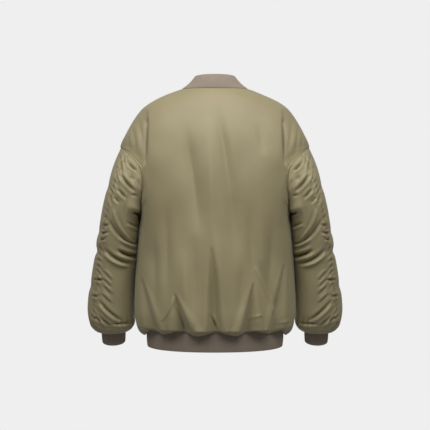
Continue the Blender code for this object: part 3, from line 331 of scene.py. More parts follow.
def curve_weights(knots, at):
    """The matrix that turns values at the knots into a natural cubic curve's values at `at`."""
    n, h = len(knots), np.diff(knots)
    a, b = np.eye(n), np.zeros((n, n))
    for i in range(1, n - 1):
        a[i, i - 1:i + 2] = h[i - 1], 2 * (h[i - 1] + h[i]), h[i]
        b[i, i - 1:i + 2] = 6 / h[i - 1], -6 / h[i - 1] - 6 / h[i], 6 / h[i]
    bend, eye = np.linalg.solve(a, b), np.eye(n)
    i = np.clip(np.searchsorted(knots, at, side="right") - 1, 0, n - 2)
    w, v, g = (at - knots[i])[:, None], (knots[i + 1] - at)[:, None], h[i][:, None]
    return bend[i] * (v ** 3 / g - g * v) / 6 + bend[i + 1] * (w ** 3 / g - g * w) / 6 \
        + eye[i] * v / g + eye[i + 1] * w / g


def between(knots, steps):
    """The knots with each space between two of them cut into that many equal steps."""
    steps = np.broadcast_to(steps, len(knots) - 1)
    parts = [np.linspace(a, b, n, endpoint=False) for a, b, n in zip(knots[:-1], knots[1:], steps)]
    return np.concatenate(parts + [knots[-1:]])


def arc(points):
    """Distance along a line of points, or down each column of a grid."""
    d = np.linalg.norm(np.diff(points, axis=0), axis=-1)
    return np.concatenate((np.zeros((1,) + d.shape[1:]), np.cumsum(d, axis=0)))


def row_knots(grid):
    """How far down each row of a grid lies: its columns' mean distance."""
    return arc(grid).mean(axis=1)


def at_distance(line, at, values=None):
    """Points at distances along a line, or other values of its points there."""
    values = line if values is None else values
    return np.column_stack([np.interp(at, arc(line), column) for column in values.T])


def along_rows(grid):
    """Distance along each row of a grid."""
    return np.cumsum(np.linalg.norm(np.diff(grid, axis=1, prepend=grid[:, :1]), axis=2), axis=1)


def grid_normals(grid, like):
    """Unit normals of a grid of points, on the side that `like` points to."""
    n = unit(np.cross(np.gradient(grid, axis=1), np.gradient(grid, axis=0)))
    return n if np.sum(n * like) > 0 else -n


def armhole(angles, back):
    """The left armhole seam at angles round the sleeve from its outer side."""
    p = read(ARMHOLE, angles)
    if not back:
        share = read([(row[0], row[-1]) for row in BODY], p[:, 2])[:, 0]
        p[:, 1] = Y_MID - share * (p[:, 1] - Y_MID)
    return p


def section(z, back):
    """Centre, blade, crease, cap and edge points of a half section at one height."""
    if z >= BODY[-1][0] - 1e-6:
        row = read(BODY, z)[0]
        p = np.array([(0.0, row[0])] + [row[i:i + 2] for i in (1, 3, 5, 7)])
        if z < ARMHOLE[-1][3]:
            p[4] = read(WAIST, z)[0, 0], Y_MID
        if not back:
            p[:, 1] = Y_MID - row[-1] * (p[:, 1] - Y_MID)
        return p
    width, deep_back, deep_front = read(WAIST, z)[0]
    return side_shape(width, deep_back - Y_MID if back else -(deep_front + Y_MID))


def side_shape(width, depth):
    """The same five points of a section below the armholes, which is the same curve all down."""
    return np.array([(0.0, Y_MID + depth)] + [(width * sx, Y_MID + depth * sy) for sx, sy in SIDE_SHARE]
                    + [(width, Y_MID)])


def half_row(points, open_edge, stop_x):
    """A half section from x = stop_x to its edge, evenly spaced on each side of the crease."""
    mirror = points[3:0:-1] * (-1.0, 1.0)
    beyond = np.empty((0, 2))
    if not open_edge:
        beyond = points[3:0:-1].copy()
        beyond[:, 1] = 2 * Y_MID - beyond[:, 1]
    whole = np.vstack((mirror, points, beyond))
    t = arc(whole)
    parts = []
    centre, crease, edge = 3, 5, 7         # where these stand in the whole line
    for first, last, count in ((centre, crease, INNER_COLS), (crease, edge, OUTER_COLS)):
        line = curve_weights(t, np.linspace(t[first], t[last], LINE_STEPS + 1)) @ whole
        if first == centre and stop_x > 0.0:
            line = line[np.argmax(line[:, 0] > stop_x) - 1:]
            line[0] += (stop_x - line[0, 0]) / (line[1, 0] - line[0, 0]) * (line[1] - line[0])
        parts.append(at_distance(line, np.linspace(0.0, arc(line)[-1], count + 1)))
    return np.vstack((parts[0][:-1], parts[1]))


def half_body(back):
    """Half sections from the neck seam to the hem seam; the neck seam dips in front and behind."""
    loop = armhole(np.array(BACK_ANGLES if back else FRONT_ANGLES), back)
    heights = [(z, None) for z in TOP_ROWS] + [(p[2], p) for p in loop] + [(z, None) for z in LOW_ROWS]
    inward = np.sin(0.5 * math.pi * np.linspace(1.0, 0.0, INNER_COLS + OUTER_COLS + 1)) ** 1.6
    rows = []
    for z, edge in heights:
        points = section(z, back)
        if edge is not None:
            points[4] = edge[:2]
        row = half_row(points, False, 0.0 if back else ZIP_EDGE)
        if edge is not None:
            inside = np.clip(min(ARMHOLE[0][3] - z, z - ARMHOLE[-1][3]) / ARMHOLE_BLEND, 0.0, 1.0)
            opened = half_row(points, True, 0.0 if back else ZIP_EDGE)
            row += (opened - row) * eased(inside)
        if back:
            drop = NECK_BACK_DROP * max(0.0, 1.0 + z / NECK_BACK_REACH) ** 2
        else:
            drop = NECK_FRONT_DROP * max(0.0, 1.0 + z / NECK_FRONT_REACH) ** 2
            ease = np.clip((ZIP_EASE_TOP - z) / ZIP_EASE_FADE, 0.0, 1.0) ** 2
            row[:, 1] += ZIP_EASE * ease * np.exp(-(row[:, 0] / ZIP_EASE_REACH) ** 2)
        rows.append(np.column_stack((row, z - drop * inward)))
    return np.array(rows)


def refined(grid, arm_rows):
    """The grid at fine rows and columns, on smooth curves through its points both ways."""
    steps = np.full(len(grid) - 1, TOP_STEPS)
    first = len(TOP_ROWS)
    steps[first:first + arm_rows - 1] = ARM_STEPS
    steps[first + arm_rows - 1:] = LOW_STEPS
    knots = row_knots(grid)
    cols = np.arange(grid.shape[1], dtype=float)
    down = curve_weights(knots, between(knots, steps))
    across = curve_weights(cols, between(cols, COL_STEPS))
    return np.einsum("ri,ijk,cj->rck", down, grid, across, optimize=True)


def evened(grid, both):
    """Evens out a panel beside its armholes: each column's running mean over EASE_REACH, fading
    out towards the neck, the waist and the panel's outer edge, or both edges of the back."""
    s = row_knots(grid)
    weight = np.exp(-((s[:, None] - s) / EASE_REACH) ** 2) * np.gradient(s)
    mean = np.einsum("rs,sck->rck", weight / weight.sum(axis=1, keepdims=True), grid)
    across = along_rows(grid)
    inside = across[:, -1:] - across
    if both:
        inside = np.minimum(inside, across)
    z = grid[..., 2]
    share = np.clip(inside / EASE_EDGE, 0.0, 1.0) * np.clip((EASE_TOP - z) / EASE_TOP_FADE, 0.0, 1.0) \
        * np.clip((z - EASE_LOW) / EASE_LOW_FADE, 0.0, 1.0)
    return grid + (mean - grid) * eased(share)[..., None]


def drawn_to(grid, rows, col, target):
    """Moves an edge column's rows onto a seam line and lets the columns beside it follow."""
    inward = np.arange(FOLLOW_COLS) * (1 if col == 0 else -1)
    weight = (1.0 - np.arange(FOLLOW_COLS) / FOLLOW_COLS) ** 2
    shift = target - grid[rows, col]
    for step, share in zip(inward, weight):
        grid[rows, col + step] += shift * share


def beside(points, x0, z0, x1, z1):
    """Where points seen in the XZ plane lie beside a line given in millimetres: the share of its
    length, the distance to its left and its length, both in millimetres."""
    along = np.array((x1 - x0, z1 - z0))
    length = np.linalg.norm(along)
    along = along / length
    rel = points[..., (0, 2)] / MM - (x0, z0)
    return rel @ along / length, rel @ np.array((-along[1], along[0])), length


def fold(points, x0, z0, x1, z1, bow, width, depth, ridge, crest, soft=0.7):
    """Height in metres of one fold at points seen in the XZ plane, from a row in millimetres:
    a trough of a half width and depth along a bowed line, a ridge on its lower side (on -X if
    it is upright) and a crest on its upper side; a negative depth makes it a raised crease.
    Its height swells along it as the sine of its length to the power `soft`."""
    s, d, length = beside(points, x0, z0, x1, z1)
    if x1 < x0 or (x1 - x0 < 0.3 * length and z1 > z0):
        d = -d
    within = s.clip(0.0, 1.0)
    d = d - bow * 4 * within * (1 - within)
    past = np.maximum(np.maximum(-s, s - 1.0), 0.0) * length
    least = 0.12 if soft < 1.0 else 0.0
    swell = least + (1.0 - least) * np.sin(math.pi * within) ** soft
    lips = ridge * np.exp(-((d + 1.8 * width) / (1.1 * width)) ** 2) \
        + crest * np.exp(-((d - 1.8 * width) / (1.1 * width)) ** 2)
    trough = depth * np.exp(-np.abs(d / width) ** 1.6)
    return MM * (lips - trough) * swell * np.exp(-(past / (0.9 * width)) ** 2)


def pucker(points, x0, z0, x1, z1, tip, foot, depth, right, left):
    """Height in metres of cloth drawn in by a gathered seam, from a row in millimetres: a hollow
    that opens and deepens from its tip, at (x0, z0), to its foot on the seam, with lips."""
    s, d, _ = beside(points, x0, z0, x1, z1)
    opened = s.clip(0.0, 1.3)
    q = d / (tip + (foot - tip) * opened)
    lips = right * np.exp(-((q + 1.75) / 0.9) ** 2) + left * np.exp(-((q - 1.75) / 0.9) ** 2)
    hollow = depth * np.exp(-np.abs(q) ** 1.8)
    return MM * (lips - hollow) * opened ** 0.75 * np.exp(-(np.minimum(s, 0.0) * 8.0) ** 2)


def step_fold(points, x0, z0, x1, z1, inner, outer, depth):
    """Height in metres of a crease beside the body's broad back, from a row in millimetres: it
    drops within `inner` on the centre's side and rises again over `outer`; deepest halfway."""
    line = (points[..., 2] / MM - z0) / (z1 - z0)
    across = np.abs(points[..., 0]) / MM - (x0 + (x1 - x0) * line)
    width = np.where(across > 0.0, outer, inner)
    swell = np.sin(math.pi * line.clip(0.0, 1.0)) ** 0.8
    return -MM * depth * swell * np.exp(-np.abs(across / width) ** 1.7)


def waviness(grid, height, length, seed):
    """Slow uneven waves over a cloth: a sum of sines in seeded directions and phases."""
    chance = np.random.default_rng(seed)
    total = np.zeros(grid.shape[:-1])
    for _ in range(7):
        direction = unit(chance.normal(size=3) * (1.0, 1.0, 0.55))
        pitch = length * chance.uniform(0.6, 1.6)
        total += np.sin(grid @ direction * 2 * math.pi / pitch + chance.uniform(0, 2 * math.pi))
    return total * height / 3.0


def facing(normals, way):
    """How far a cloth faces back (way 1) or front (way -1): 0 edge-on, 1 from 17 degrees off that."""
    return np.clip(way * normals[..., 1] / 0.30, 0.0, 1.0)


def numbered(grid, first=0):
    """Numbers for a grid's points, row by row."""
    return first + np.arange(grid.shape[0] * grid.shape[1]).reshape(grid.shape[:2])


def quads(number, ring=False):
    """Faces between the rows and columns of a grid of point numbers, closed round if it is a ring."""
    if ring:
        number = np.concatenate((number, number[:, :1]), axis=1)
    corners = (number[:-1, :-1], number[:-1, 1:], number[1:, 1:], number[1:, :-1])
    return np.stack(corners, axis=-1).reshape(-1, 4)


def round_edge(number):
    """Point numbers once round a grid's edge."""
    return np.concatenate((number[0, :-1], number[:-1, -1], number[-1, :0:-1], number[:0:-1, 0]))


def panel(name, mid, normals, edges):
    """A closed wall of cloth about a grid of points. The outer face has every point, the inner
    face every other one, and the edge faces run once round between them. `edges` holds each
    point's distance from the nearest sewn edge. Its UV map is the cut, in metres."""
    half = 0.5 * WALL
    outer, inner = mid + normals * half, (mid - normals * half)[::2, ::2]
    number = numbered(outer)
    low = numbered(inner, number.size)
    a, b = round_edge(number), round_edge(low)
    o0, o1, o2, i0, i1 = a[::2], a[1::2], np.roll(a, -2)[::2], b, np.roll(b, -1)
    rim = np.vstack([np.column_stack(three) for three in ((o1, o0, i0), (o1, i0, i1), (o2, o1, i1))])
    side = np.cross(outer[1:, 1:] - outer[:-1, :-1], outer[1:, :-1] - outer[:-1, 1:])
    way = -1 if np.sum(side * normals[:-1, :-1]) < 0 else 1
    faces = [face for part in (quads(number), quads(low)[:, ::-1], rim) for face in part[:, ::way].tolist()]
    u = along_rows(mid)
    u -= u[:, u.shape[1] // 2:u.shape[1] // 2 + 1]
    flat = np.stack((u, -arc(mid)), axis=-1)
    points = np.vstack((outer.reshape(-1, 3), inner.reshape(-1, 3)))
    lay = np.vstack((flat.reshape(-1, 2), flat[::2, ::2].reshape(-1, 2)))
    # distances from the sewn edges, which set the painted shade in the seams' furrows
    wear_and_seam_shade = np.concatenate((edges.ravel(), edges[::2, ::2].ravel()))
    return mesh_piece(name, points, faces, satin, lay, wear_and_seam_shade)


def mesh_piece(name, points, faces, material, lay=None, wear_and_seam_shade=None):
    """A smooth mesh that rides on the jacket, with a UV map "cut", which is the points' x and z
    unless `lay` says where they lie, and the attribute "from_seam", the distance from a sewn edge
    that sets the painted seam shade, which is far unless those distances are given."""
    points = points.reshape(-1, 3)
    lay = points[:, (0, 2)] if lay is None else lay.reshape(-1, 2)
    wear_and_seam_shade = np.full(len(points), FAR) if wear_and_seam_shade is None else wear_and_seam_shade.ravel()
    mesh = bpy.data.meshes.new(name)
    mesh.from_pydata(points.tolist(), [], faces)
    corner = np.empty(len(mesh.loops), dtype=np.int32)
    mesh.loops.foreach_get("vertex_index", corner)
    mesh.uv_layers.new(name="cut").data.foreach_set("uv", lay[corner].astype(np.float32).ravel())
    mesh.attributes.new("from_seam", "FLOAT", "POINT").data.foreach_set("value", wear_and_seam_shade.astype(np.float32))
    mesh.shade_smooth()
    mesh.set_sharp_from_angle(angle=math.radians(70.0))
    mesh.materials.append(material)
    ob = bpy.data.objects.new(name, mesh)
    scene.collection.objects.link(ob)
    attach(ob, "jacket")
    return ob


BACK_CREASES = (
    # x0,      z0,     x1,     z1,    bow, width, depth, ridge, crest (mm)
    # sharp creases between the hem's puckers
    (104.0, -545.0,  133.0, -607.0,  -4.0,  2.6, -5.5,  0.0,  0.0),
    (-3.5,  -480.0,   -5.5, -640.0,   0.0,  2.8,  4.5,  1.0,  0.0),
    (14.0,  -588.0,   -7.0, -632.0,   0.0,  3.0,  5.5,  0.0,  4.5),
    (-102.0, -470.0, -158.0, -611.0,  3.0,  2.8, -6.5,  0.0,  0.0),
    (-94.0, -602.0, -119.0, -592.0,   2.5,  3.0, -2.4,  0.0,  0.0),
    (-168.0, -619.0, -193.0, -612.0,  0.0,  3.3, -1.8,  0.0,  0.0),
    (100.0, -575.0,   84.0, -640.0,   3.0,  3.0,  5.0,  1.0,  2.5),
)
BACK_DRAPES = (
    # the long soft folds that hang from the shoulders and rise from the hem, as above
    (-2.0,   -50.0,  -40.0, -290.0,   3.0, 13.0,  8.0,  0.0,  1.5),
    (-30.0, -190.0,  -60.0, -480.0,   0.0, 20.0,  9.0,  0.0,  2.0),
    (78.0,   -90.0,   36.0, -400.0,   0.0, 19.0, 12.0,  0.0,  0.0),
    (18.0,   -90.0,    4.0, -400.0,   0.0, 18.0, -7.0,  0.0,  0.0),
    (12.0,  -330.0,  -38.0, -610.0,   0.0, 18.0, -9.0,  0.0,  0.0),
    (-109.0, -95.0, -127.0, -190.0,   0.0,  9.0,  3.0,  0.0,  0.0),
    (-84.0, -290.0, -100.0, -520.0,   0.0, 15.0,  6.5,  0.0,  4.0),
    (-112.0, -446.0, -170.0, -620.0,  0.0, 12.0,  8.0,  0.0,  0.0),
    (125.0, -290.0,  122.0, -580.0,   0.0, 13.0,  4.5,  1.0,  1.0),
    (52.0,  -380.0,   56.0, -610.0,   0.0, 16.0,  6.0,  0.0,  0.0),
    (82.0,  -420.0,   66.0, -640.0,   0.0, 17.0, -7.0,  0.0,  0.0),
    (-70.0, -440.0,  -66.0, -640.0,   0.0, 13.0,  5.0,  0.0,  0.0),
    (-150.0, -340.0, -140.0, -560.0,  0.0, 13.0,  5.0,  0.0,  0.0),
    (160.0, -360.0,  152.0, -600.0,   0.0, 13.0,  5.0,  0.0,  0.0),
)
BACK_PUCKERS = (
    # x0,      z0,     x1,     z1,    tip, foot, depth, right, left lip (mm)
    (102.0, -538.0,   82.0, -632.0,   3.0, 17.0, 24.0,  7.0,  5.0),
    (9.0,   -420.0,    0.0, -632.0,   5.0, 14.0, 22.0,  5.0,  6.0),
    (-98.0, -510.0,  -86.0, -632.0,   3.0, 15.0, 22.0,  5.0,  7.0),
    (-180.0, -466.0, -158.0, -634.0,  4.0, 14.0, 17.0,  4.0,  5.0),
    (192.0, -505.0,  162.0, -634.0,   4.0, 14.0, 17.0,  5.0,  4.0),
)
# The crease between the back and each shoulder's cap: x0, z0, x1, z1, inner, outer, depth (mm).
CAP_CREASES = (
    (182.0,  -82.0,  184.0, -212.0,   5.0,  5.0, 19.0),
    (180.0,  -56.0,  187.0, -232.0,   4.0, 30.0, 11.0),
)
FRONT_CREASE_SHARE = 0.45       # how deep the same creases are on the front
CAP_FOLDS = (
    (206.0,  -84.0,  194.0, -176.0,   3.0,  6.0,  2.2,  0.0,  0.8),
    (221.0, -104.0,  212.0, -172.0,   2.0,  5.0,  2.0,  0.0,  0.8),
    (232.0, -126.0,  229.0, -160.0,   0.0,  3.7,  1.4,  0.0,  0.4),
)
FRONT_FOLDS = {
    "left": (
        (160.0, -420.0, 145.0, -700.0,  0.0, 13.0, 6.0, 3.0, 1.0),
        (95.0,  -430.0,  85.0, -680.0,  0.0, 13.0, 5.5, 2.0, 1.0),
        (125.0, -160.0,  95.0, -320.0,  4.0, 20.0, 4.5, 1.5, 0.0),
        (150.0, -330.0,  90.0, -460.0,  6.0, 17.0, 4.0, 2.0, 0.0),
        (52.0,  -480.0,  56.0, -660.0,  0.0,  7.0, 3.5, 1.0, 1.5),
        (122.0, -500.0, 118.0, -660.0,  0.0,  8.0, 4.0, 0.0, 2.0),
        (70.0,  -180.0,  52.0, -380.0,  5.0, 15.0, 2.4, 0.0, 0.0),
    ),
    "right": (
        (152.0, -400.0, 138.0, -700.0,  0.0, 13.0, 6.0, 3.0, 1.0),
        (90.0,  -450.0,  80.0, -680.0,  0.0, 13.0, 5.5, 2.0, 1.0),
        (118.0, -170.0,  90.0, -340.0,  4.0, 20.0, 4.5, 1.5, 0.0),
        (140.0, -360.0,  80.0, -430.0,  6.0, 15.0, 3.4, 1.6, 0.0),
        (46.0,  -500.0,  50.0, -660.0,  0.0,  7.0, 3.2, 1.0, 1.2),
        (116.0, -510.0, 112.0, -660.0,  0.0,  8.0, 4.2, 0.0, 2.0),
        (66.0,  -200.0,  48.0, -360.0, -4.0, 14.0, 2.2, 0.0, 0.0),
    ),
}
WAVE = 0.9 * MM, 0.110         # height and length of the slow waves all over the cloth
SIDE_FADE, NECK_FADE = 0.005, 0.020    # folds set in over this much beside a side and a neck seam
TOPSTITCH = 1.6 * MM, 8.0 * MM         # the two rows of stitches beside an armhole or the zip
FURROW_DEPTH, FURROW_WIDTH = 1.1 * MM, 2.6 * MM
SECOND_FURROW, SECOND_SHADE = 0.5, 0.7 * MM    # the second row's furrow against the edge's, and the distance added to it for its fainter painted shade
HEM_PLEAT, HEM_PLEAT_HEIGHT, HEM_PLEAT_REACH = 0.023, 0.6 * MM, 0.020
HEM_PLEAT_STRAY = 3.0, 0.05    # how unevenly they are spaced: radians, over metres
ARMHOLE_CENTRE = 0.222, Y_MID, -0.235
RIB_GAP = 0.3 * MM
TOP_END = len(TOP_ROWS) * TOP_STEPS
arm_end = {back: TOP_END + (len(angles) - 1) * ARM_STEPS
           for back, angles in ((True, BACK_ANGLES), (False, FRONT_ANGLES))}


def armhole_out(angles, back):
    """Outward directions along the armhole seam, square to it, shared by body and sleeve."""
    along = unit(armhole(angles + 0.5, back) - armhole(angles - 0.5, back))
    away = armhole(angles, back) - ARMHOLE_CENTRE
    return unit(away - along * np.sum(away * along, axis=1, keepdims=True))


def from_edges(grid, sides):
    """Each point's distance from its panel's nearest edge, the sides counted as that much farther."""
    across, down = sides + along_rows(grid), arc(grid)
    return np.minimum.reduce((across, across[:, -1:] + sides - across, down, down[-1:] - down))


def furrow(distance):
    """How far the cloth is drawn in at a distance from a row of stitches."""
    return -FURROW_DEPTH * np.exp(-(distance / FURROW_WIDTH) ** 2)


def edge_line_normals(line, sign):
    """Normals of a shoulder or side seam, which lies in an XZ plane."""
    d = np.gradient(line, axis=0)
    return unit(np.column_stack((-d[:, 2] * sign, np.zeros(len(d)), d[:, 0] * sign)))


def folded(grid, folds, drapes, puckers, way, seed):
    """The body's cloth with its folds, waves and pleats, none at its neck and side seams."""
    normals = grid_normals(grid, (0.0, way, 0.0))
    height = sum(fold(grid, *row) for row in folds) + sum(pucker(grid, *row) for row in puckers)
    height = height + sum(fold(grid, *row, soft=1.5) for row in drapes)
    creases = sum(step_fold(grid, *row) for row in CAP_CREASES)
    height = height + creases * (1.0 if way > 0 else FRONT_CREASE_SHARE)
    height = height * facing(normals, way)
    height += waviness(grid, *WAVE, seed)
    low = np.exp(-((grid[..., 2] - HEM_SEAM_Z) / HEM_PLEAT_REACH) ** 2)
    beat = 2 * math.pi * grid[..., 0] / HEM_PLEAT + waviness(grid, *HEM_PLEAT_STRAY, seed)
    height += HEM_PLEAT_HEIGHT * low * np.sin(beat)
    across = along_rows(grid)
    sides = (across[:, -1:] - across) if way < 0 else np.minimum(across, across[:, -1:] - across)
    height *= np.clip(sides / SIDE_FADE, 0.0, 1.0) * np.clip(arc(grid) / NECK_FADE, 0.0, 1.0)
    moved = grid + normals * height[..., None]
    moved[-1, :, 2] = grid[-1, :, 2]
    return moved


def hem_outline(back, gap):
    """The hem rib's section with a gap outside it: the whole back, or one front from its zip edge."""
    depth = HEM_HALF_DEPTH + gap
    points = side_shape(HEM_HALF_WIDTH + gap, depth - Y_MID if back else -(depth + Y_MID))
    coarse = half_row(points, False, 0.0 if back else ZIP_EDGE)
    cols = np.arange(len(coarse), dtype=float)
    row = curve_weights(cols, between(cols, COL_STEPS)) @ coarse
    return np.vstack((row[:0:-1] * (-1.0, 1.0), row)) if back else row


def bloused(grid, back):
    """Adds the lower edge, which droops below the hem seam and turns in to the face of the rib."""
    rib = hem_outline(back, RIB_GAP)
    seam = grid[-1]
    droop = read(DROOP, np.degrees(np.arctan2(seam[:, 0], seam[:, 1] - Y_MID)))[:, 0]
    droop = np.maximum(droop, LEAST_DROOP)
    rows = [grid[-1 - 2 * LOW_STEPS], grid[-1 - LOW_STEPS], seam]
    rows += [np.column_stack((rib + (seam[:, :2] - rib) * out, HEM_SEAM_Z - droop * share))
             for out, share in TUCK]
    rows = np.array(rows)
    knots = row_knots(rows)
    fine = curve_weights(knots, np.linspace(knots[2], knots[-1], TUCK_STEPS + 1)[1:])
    return np.concatenate((grid, np.einsum("ri,ijk->rjk", fine, rows)))


def body_normals(grid, way, arm_rows, cols):
    """Normals for the wall's thickness, shared with the neighbours along every seam."""
    normals = grid_normals(grid, (0.0, way, 0.0))
    angles = between(np.array(BACK_ANGLES if way > 0 else FRONT_ANGLES), ARM_STEPS)
    shared = armhole_out(angles, way > 0)
    for col, sign in cols:
        normals[arm_rows, col] = shared * (sign, 1.0, 1.0)
        for rows in (slice(0, arm_rows.start + 1), slice(arm_rows.stop - 1, len(grid))):
            normals[rows, col] = edge_line_normals(grid[rows, col], sign)
    normals[-1] = (0.0, 0.0, -TUCKED)
    return normals


half_back = half_body(True)
whole_back = np.concatenate((half_back[:, :0:-1] * MIRRORED, half_back), axis=1)
back = evened(refined(whole_back, len(BACK_ANGLES)), True)
half_front = half_body(False)
front = evened(refined(half_front, len(FRONT_ANGLES)), False)
arm_rows = {way: slice(TOP_END, arm_end[way] + 1) for way in (True, False)}
seam_line = armhole(between(np.array(BACK_ANGLES), ARM_STEPS), True)
drawn_to(back, arm_rows[True], -1, seam_line)
drawn_to(back, arm_rows[True], 0, seam_line * MIRRORED)
drawn_to(front, arm_rows[False], -1, armhole(between(np.array(FRONT_ANGLES), ARM_STEPS), False))
drawn_to(front, slice(0, TOP_END + 1), -1, back[:TOP_END + 1, -1])
drawn_to(front, slice(arm_end[False], None), -1, back[arm_end[True]:, -1])

cap_both = CAP_FOLDS + tuple((-x0, z0, -x1, z1, -bow, w, d, crest, ridge)
                             for x0, z0, x1, z1, bow, w, d, ridge, crest in CAP_FOLDS)
back = bloused(folded(back, BACK_CREASES + cap_both, BACK_DRAPES, BACK_PUCKERS, 1.0, 11), True)
front_side = {side: bloused(folded(front, CAP_FOLDS, FRONT_FOLDS[side], (), -1.0, seed), False)
              for side, seed in (("left", 12), ("right", 13))}


def sewn(grid, normals, sides=0.0, lines=()):
    """The cloth drawn in along its sewn edges and, in the named rows beside the named edge
    columns, along a second row of topstitching; and each point's distance from the nearest, which
    sets the painted shade in their furrows, fainter at the second row."""
    distance = from_edges(grid, sides)
    across = along_rows(grid)
    second = np.full(distance.shape, FAR)
    for rows, col in lines:
        inward = across[rows] if col == 0 else across[rows, -1:] - across[rows]
        second[rows] = np.minimum(second[rows], np.abs(inward - TOPSTITCH[1]))
    moved = grid + normals * (furrow(distance) + SECOND_FURROW * furrow(second))[..., None]
    return moved, np.minimum(distance, second + SECOND_SHADE)


def inset_sides(grid, cols):
    """Draws the named side columns back from the seam line by half the gap."""
    for col in cols:
        step = 1 if col == 0 else -1
        grid[:, col] += SEAM * unit(grid[:, col + step] - grid[:, col])
    return grid


laid = {}                      # each panel's outer face and normals, for the sewing that lies on it
normals = body_normals(back, 1.0, arm_rows[True], ((-1, 1.0), (0, -1.0)))
mid, distance = sewn(back, normals, 0.0, ((arm_rows[True], -1), (arm_rows[True], 0)))
mid = inset_sides(mid, (0, -1))
laid["back"] = mid + normals * 0.5 * WALL, normals
shell = {"back": panel("back_shell", mid, normals, distance)}
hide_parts("back_panel")
for side, flip in SIDES:
    normals = body_normals(front_side[side], -1.0, arm_rows[False], ((-1, 1.0),))
    normals[:, 0, 0] = 0.0
    normals = unit(normals)
    zip_rows = slice(0, len(normals) - TUCK_STEPS)
    mid, distance = sewn(front_side[side], normals, 0.0, ((arm_rows[False], -1), (zip_rows, 0)))
    mid, normals = inset_sides(mid, (-1,)) * (flip, 1.0, 1.0), normals * (flip, 1.0, 1.0)
    laid[side] = mid + normals * 0.5 * WALL, normals
    shell[side] = panel("front_shell_" + side, mid, normals, distance)
    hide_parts("front_" + side)

# ================================================================== the sleeves
# Each sleeve is two pieces of satin: a back piece and a front piece, joined under the arm and along
# a ruched seam on the outer back, whose tape gathers the cloth into short creases. The sleeve hangs
# full, breaks at the elbow and blouses over its cuff.
CUFF_TILT = math.radians(13.0)
CUFF_X, CUFF_Y, CUFF_SEAM_Z = 0.2797, -0.0500, -0.634
CUFF_HALF_WIDTH, CUFF_HALF_DEPTH = 0.0331, 0.0370
SLEEVE_START = (
    # angle, direction in which the sleeve leaves the armhole
    (0.0,   0.42,  0.00, -0.90),
    (60.0,  0.55,  0.45, -0.70),
    (100.0, 0.80,  0.42, -0.42),
    (140.0, 0.80,  0.36, -0.48),
    (180.0, 0.75,  0.00, -0.66),
)
SLEEVE = (
    # z,     x,      half_w, y,      half_d
    (-.365, 0.2575, 0.0520, -0.007, 0.0930),
    (-.400, 0.2628, 0.0530, -0.010, 0.0895),
    (-.440, 0.2676, 0.0542, -0.014, 0.0840),
    (-.500, 0.2752, 0.0574, -0.022, 0.0800),
    (-.560, 0.2822, 0.0612, -0.032, 0.0770),
    (-.605, 0.2830, 0.0622, -0.040, 0.0740),
    (-.630, 0.2812, 0.0590, -0.046, 0.0680),
)
SLEEVE_TUCK = ((0.86, -.6410), (0.50, -.6490), (0.00, -.6340))     # share of the overhang, z
RUCHED = (
    # z, angle of the ruched seam from the sleeve's outer side
    (-.170, 60.0), (-.224, 74.0), (-.270, 70.0), (-.343, 60.0), (-.437, 51.0),
    (-.486, 58.0), (-.535, 54.0), (-.640, 52.0),
)
SEAM_ANGLE = 60.0              # the column that follows the ruched seam
SQUARE = 0.84                  # 1 is an ellipse; less is flatter behind and in front
TILT_FROM, TILT_FADE = -0.45, 0.17     # the forearm leans forward below this height, over this much
SLEEVE_ANGLES = np.array(BACK_ANGLES + (210.0, 240.0, 270.0, 300.0, 330.0))
LOFT_STEPS = np.array((0.0, 0.10, 0.19, 0.28, 0.37, 0.46, 0.55, 0.64, 0.73, 0.82, 0.91))
RING_ROWS = 37
LOFT_FINE, RING_FINE, SLEEVE_TUCK_FINE = 8, 4, 24
FOLLOW_ROWS = 30               # fine rows that follow the sleeve's top edge onto the armhole seam

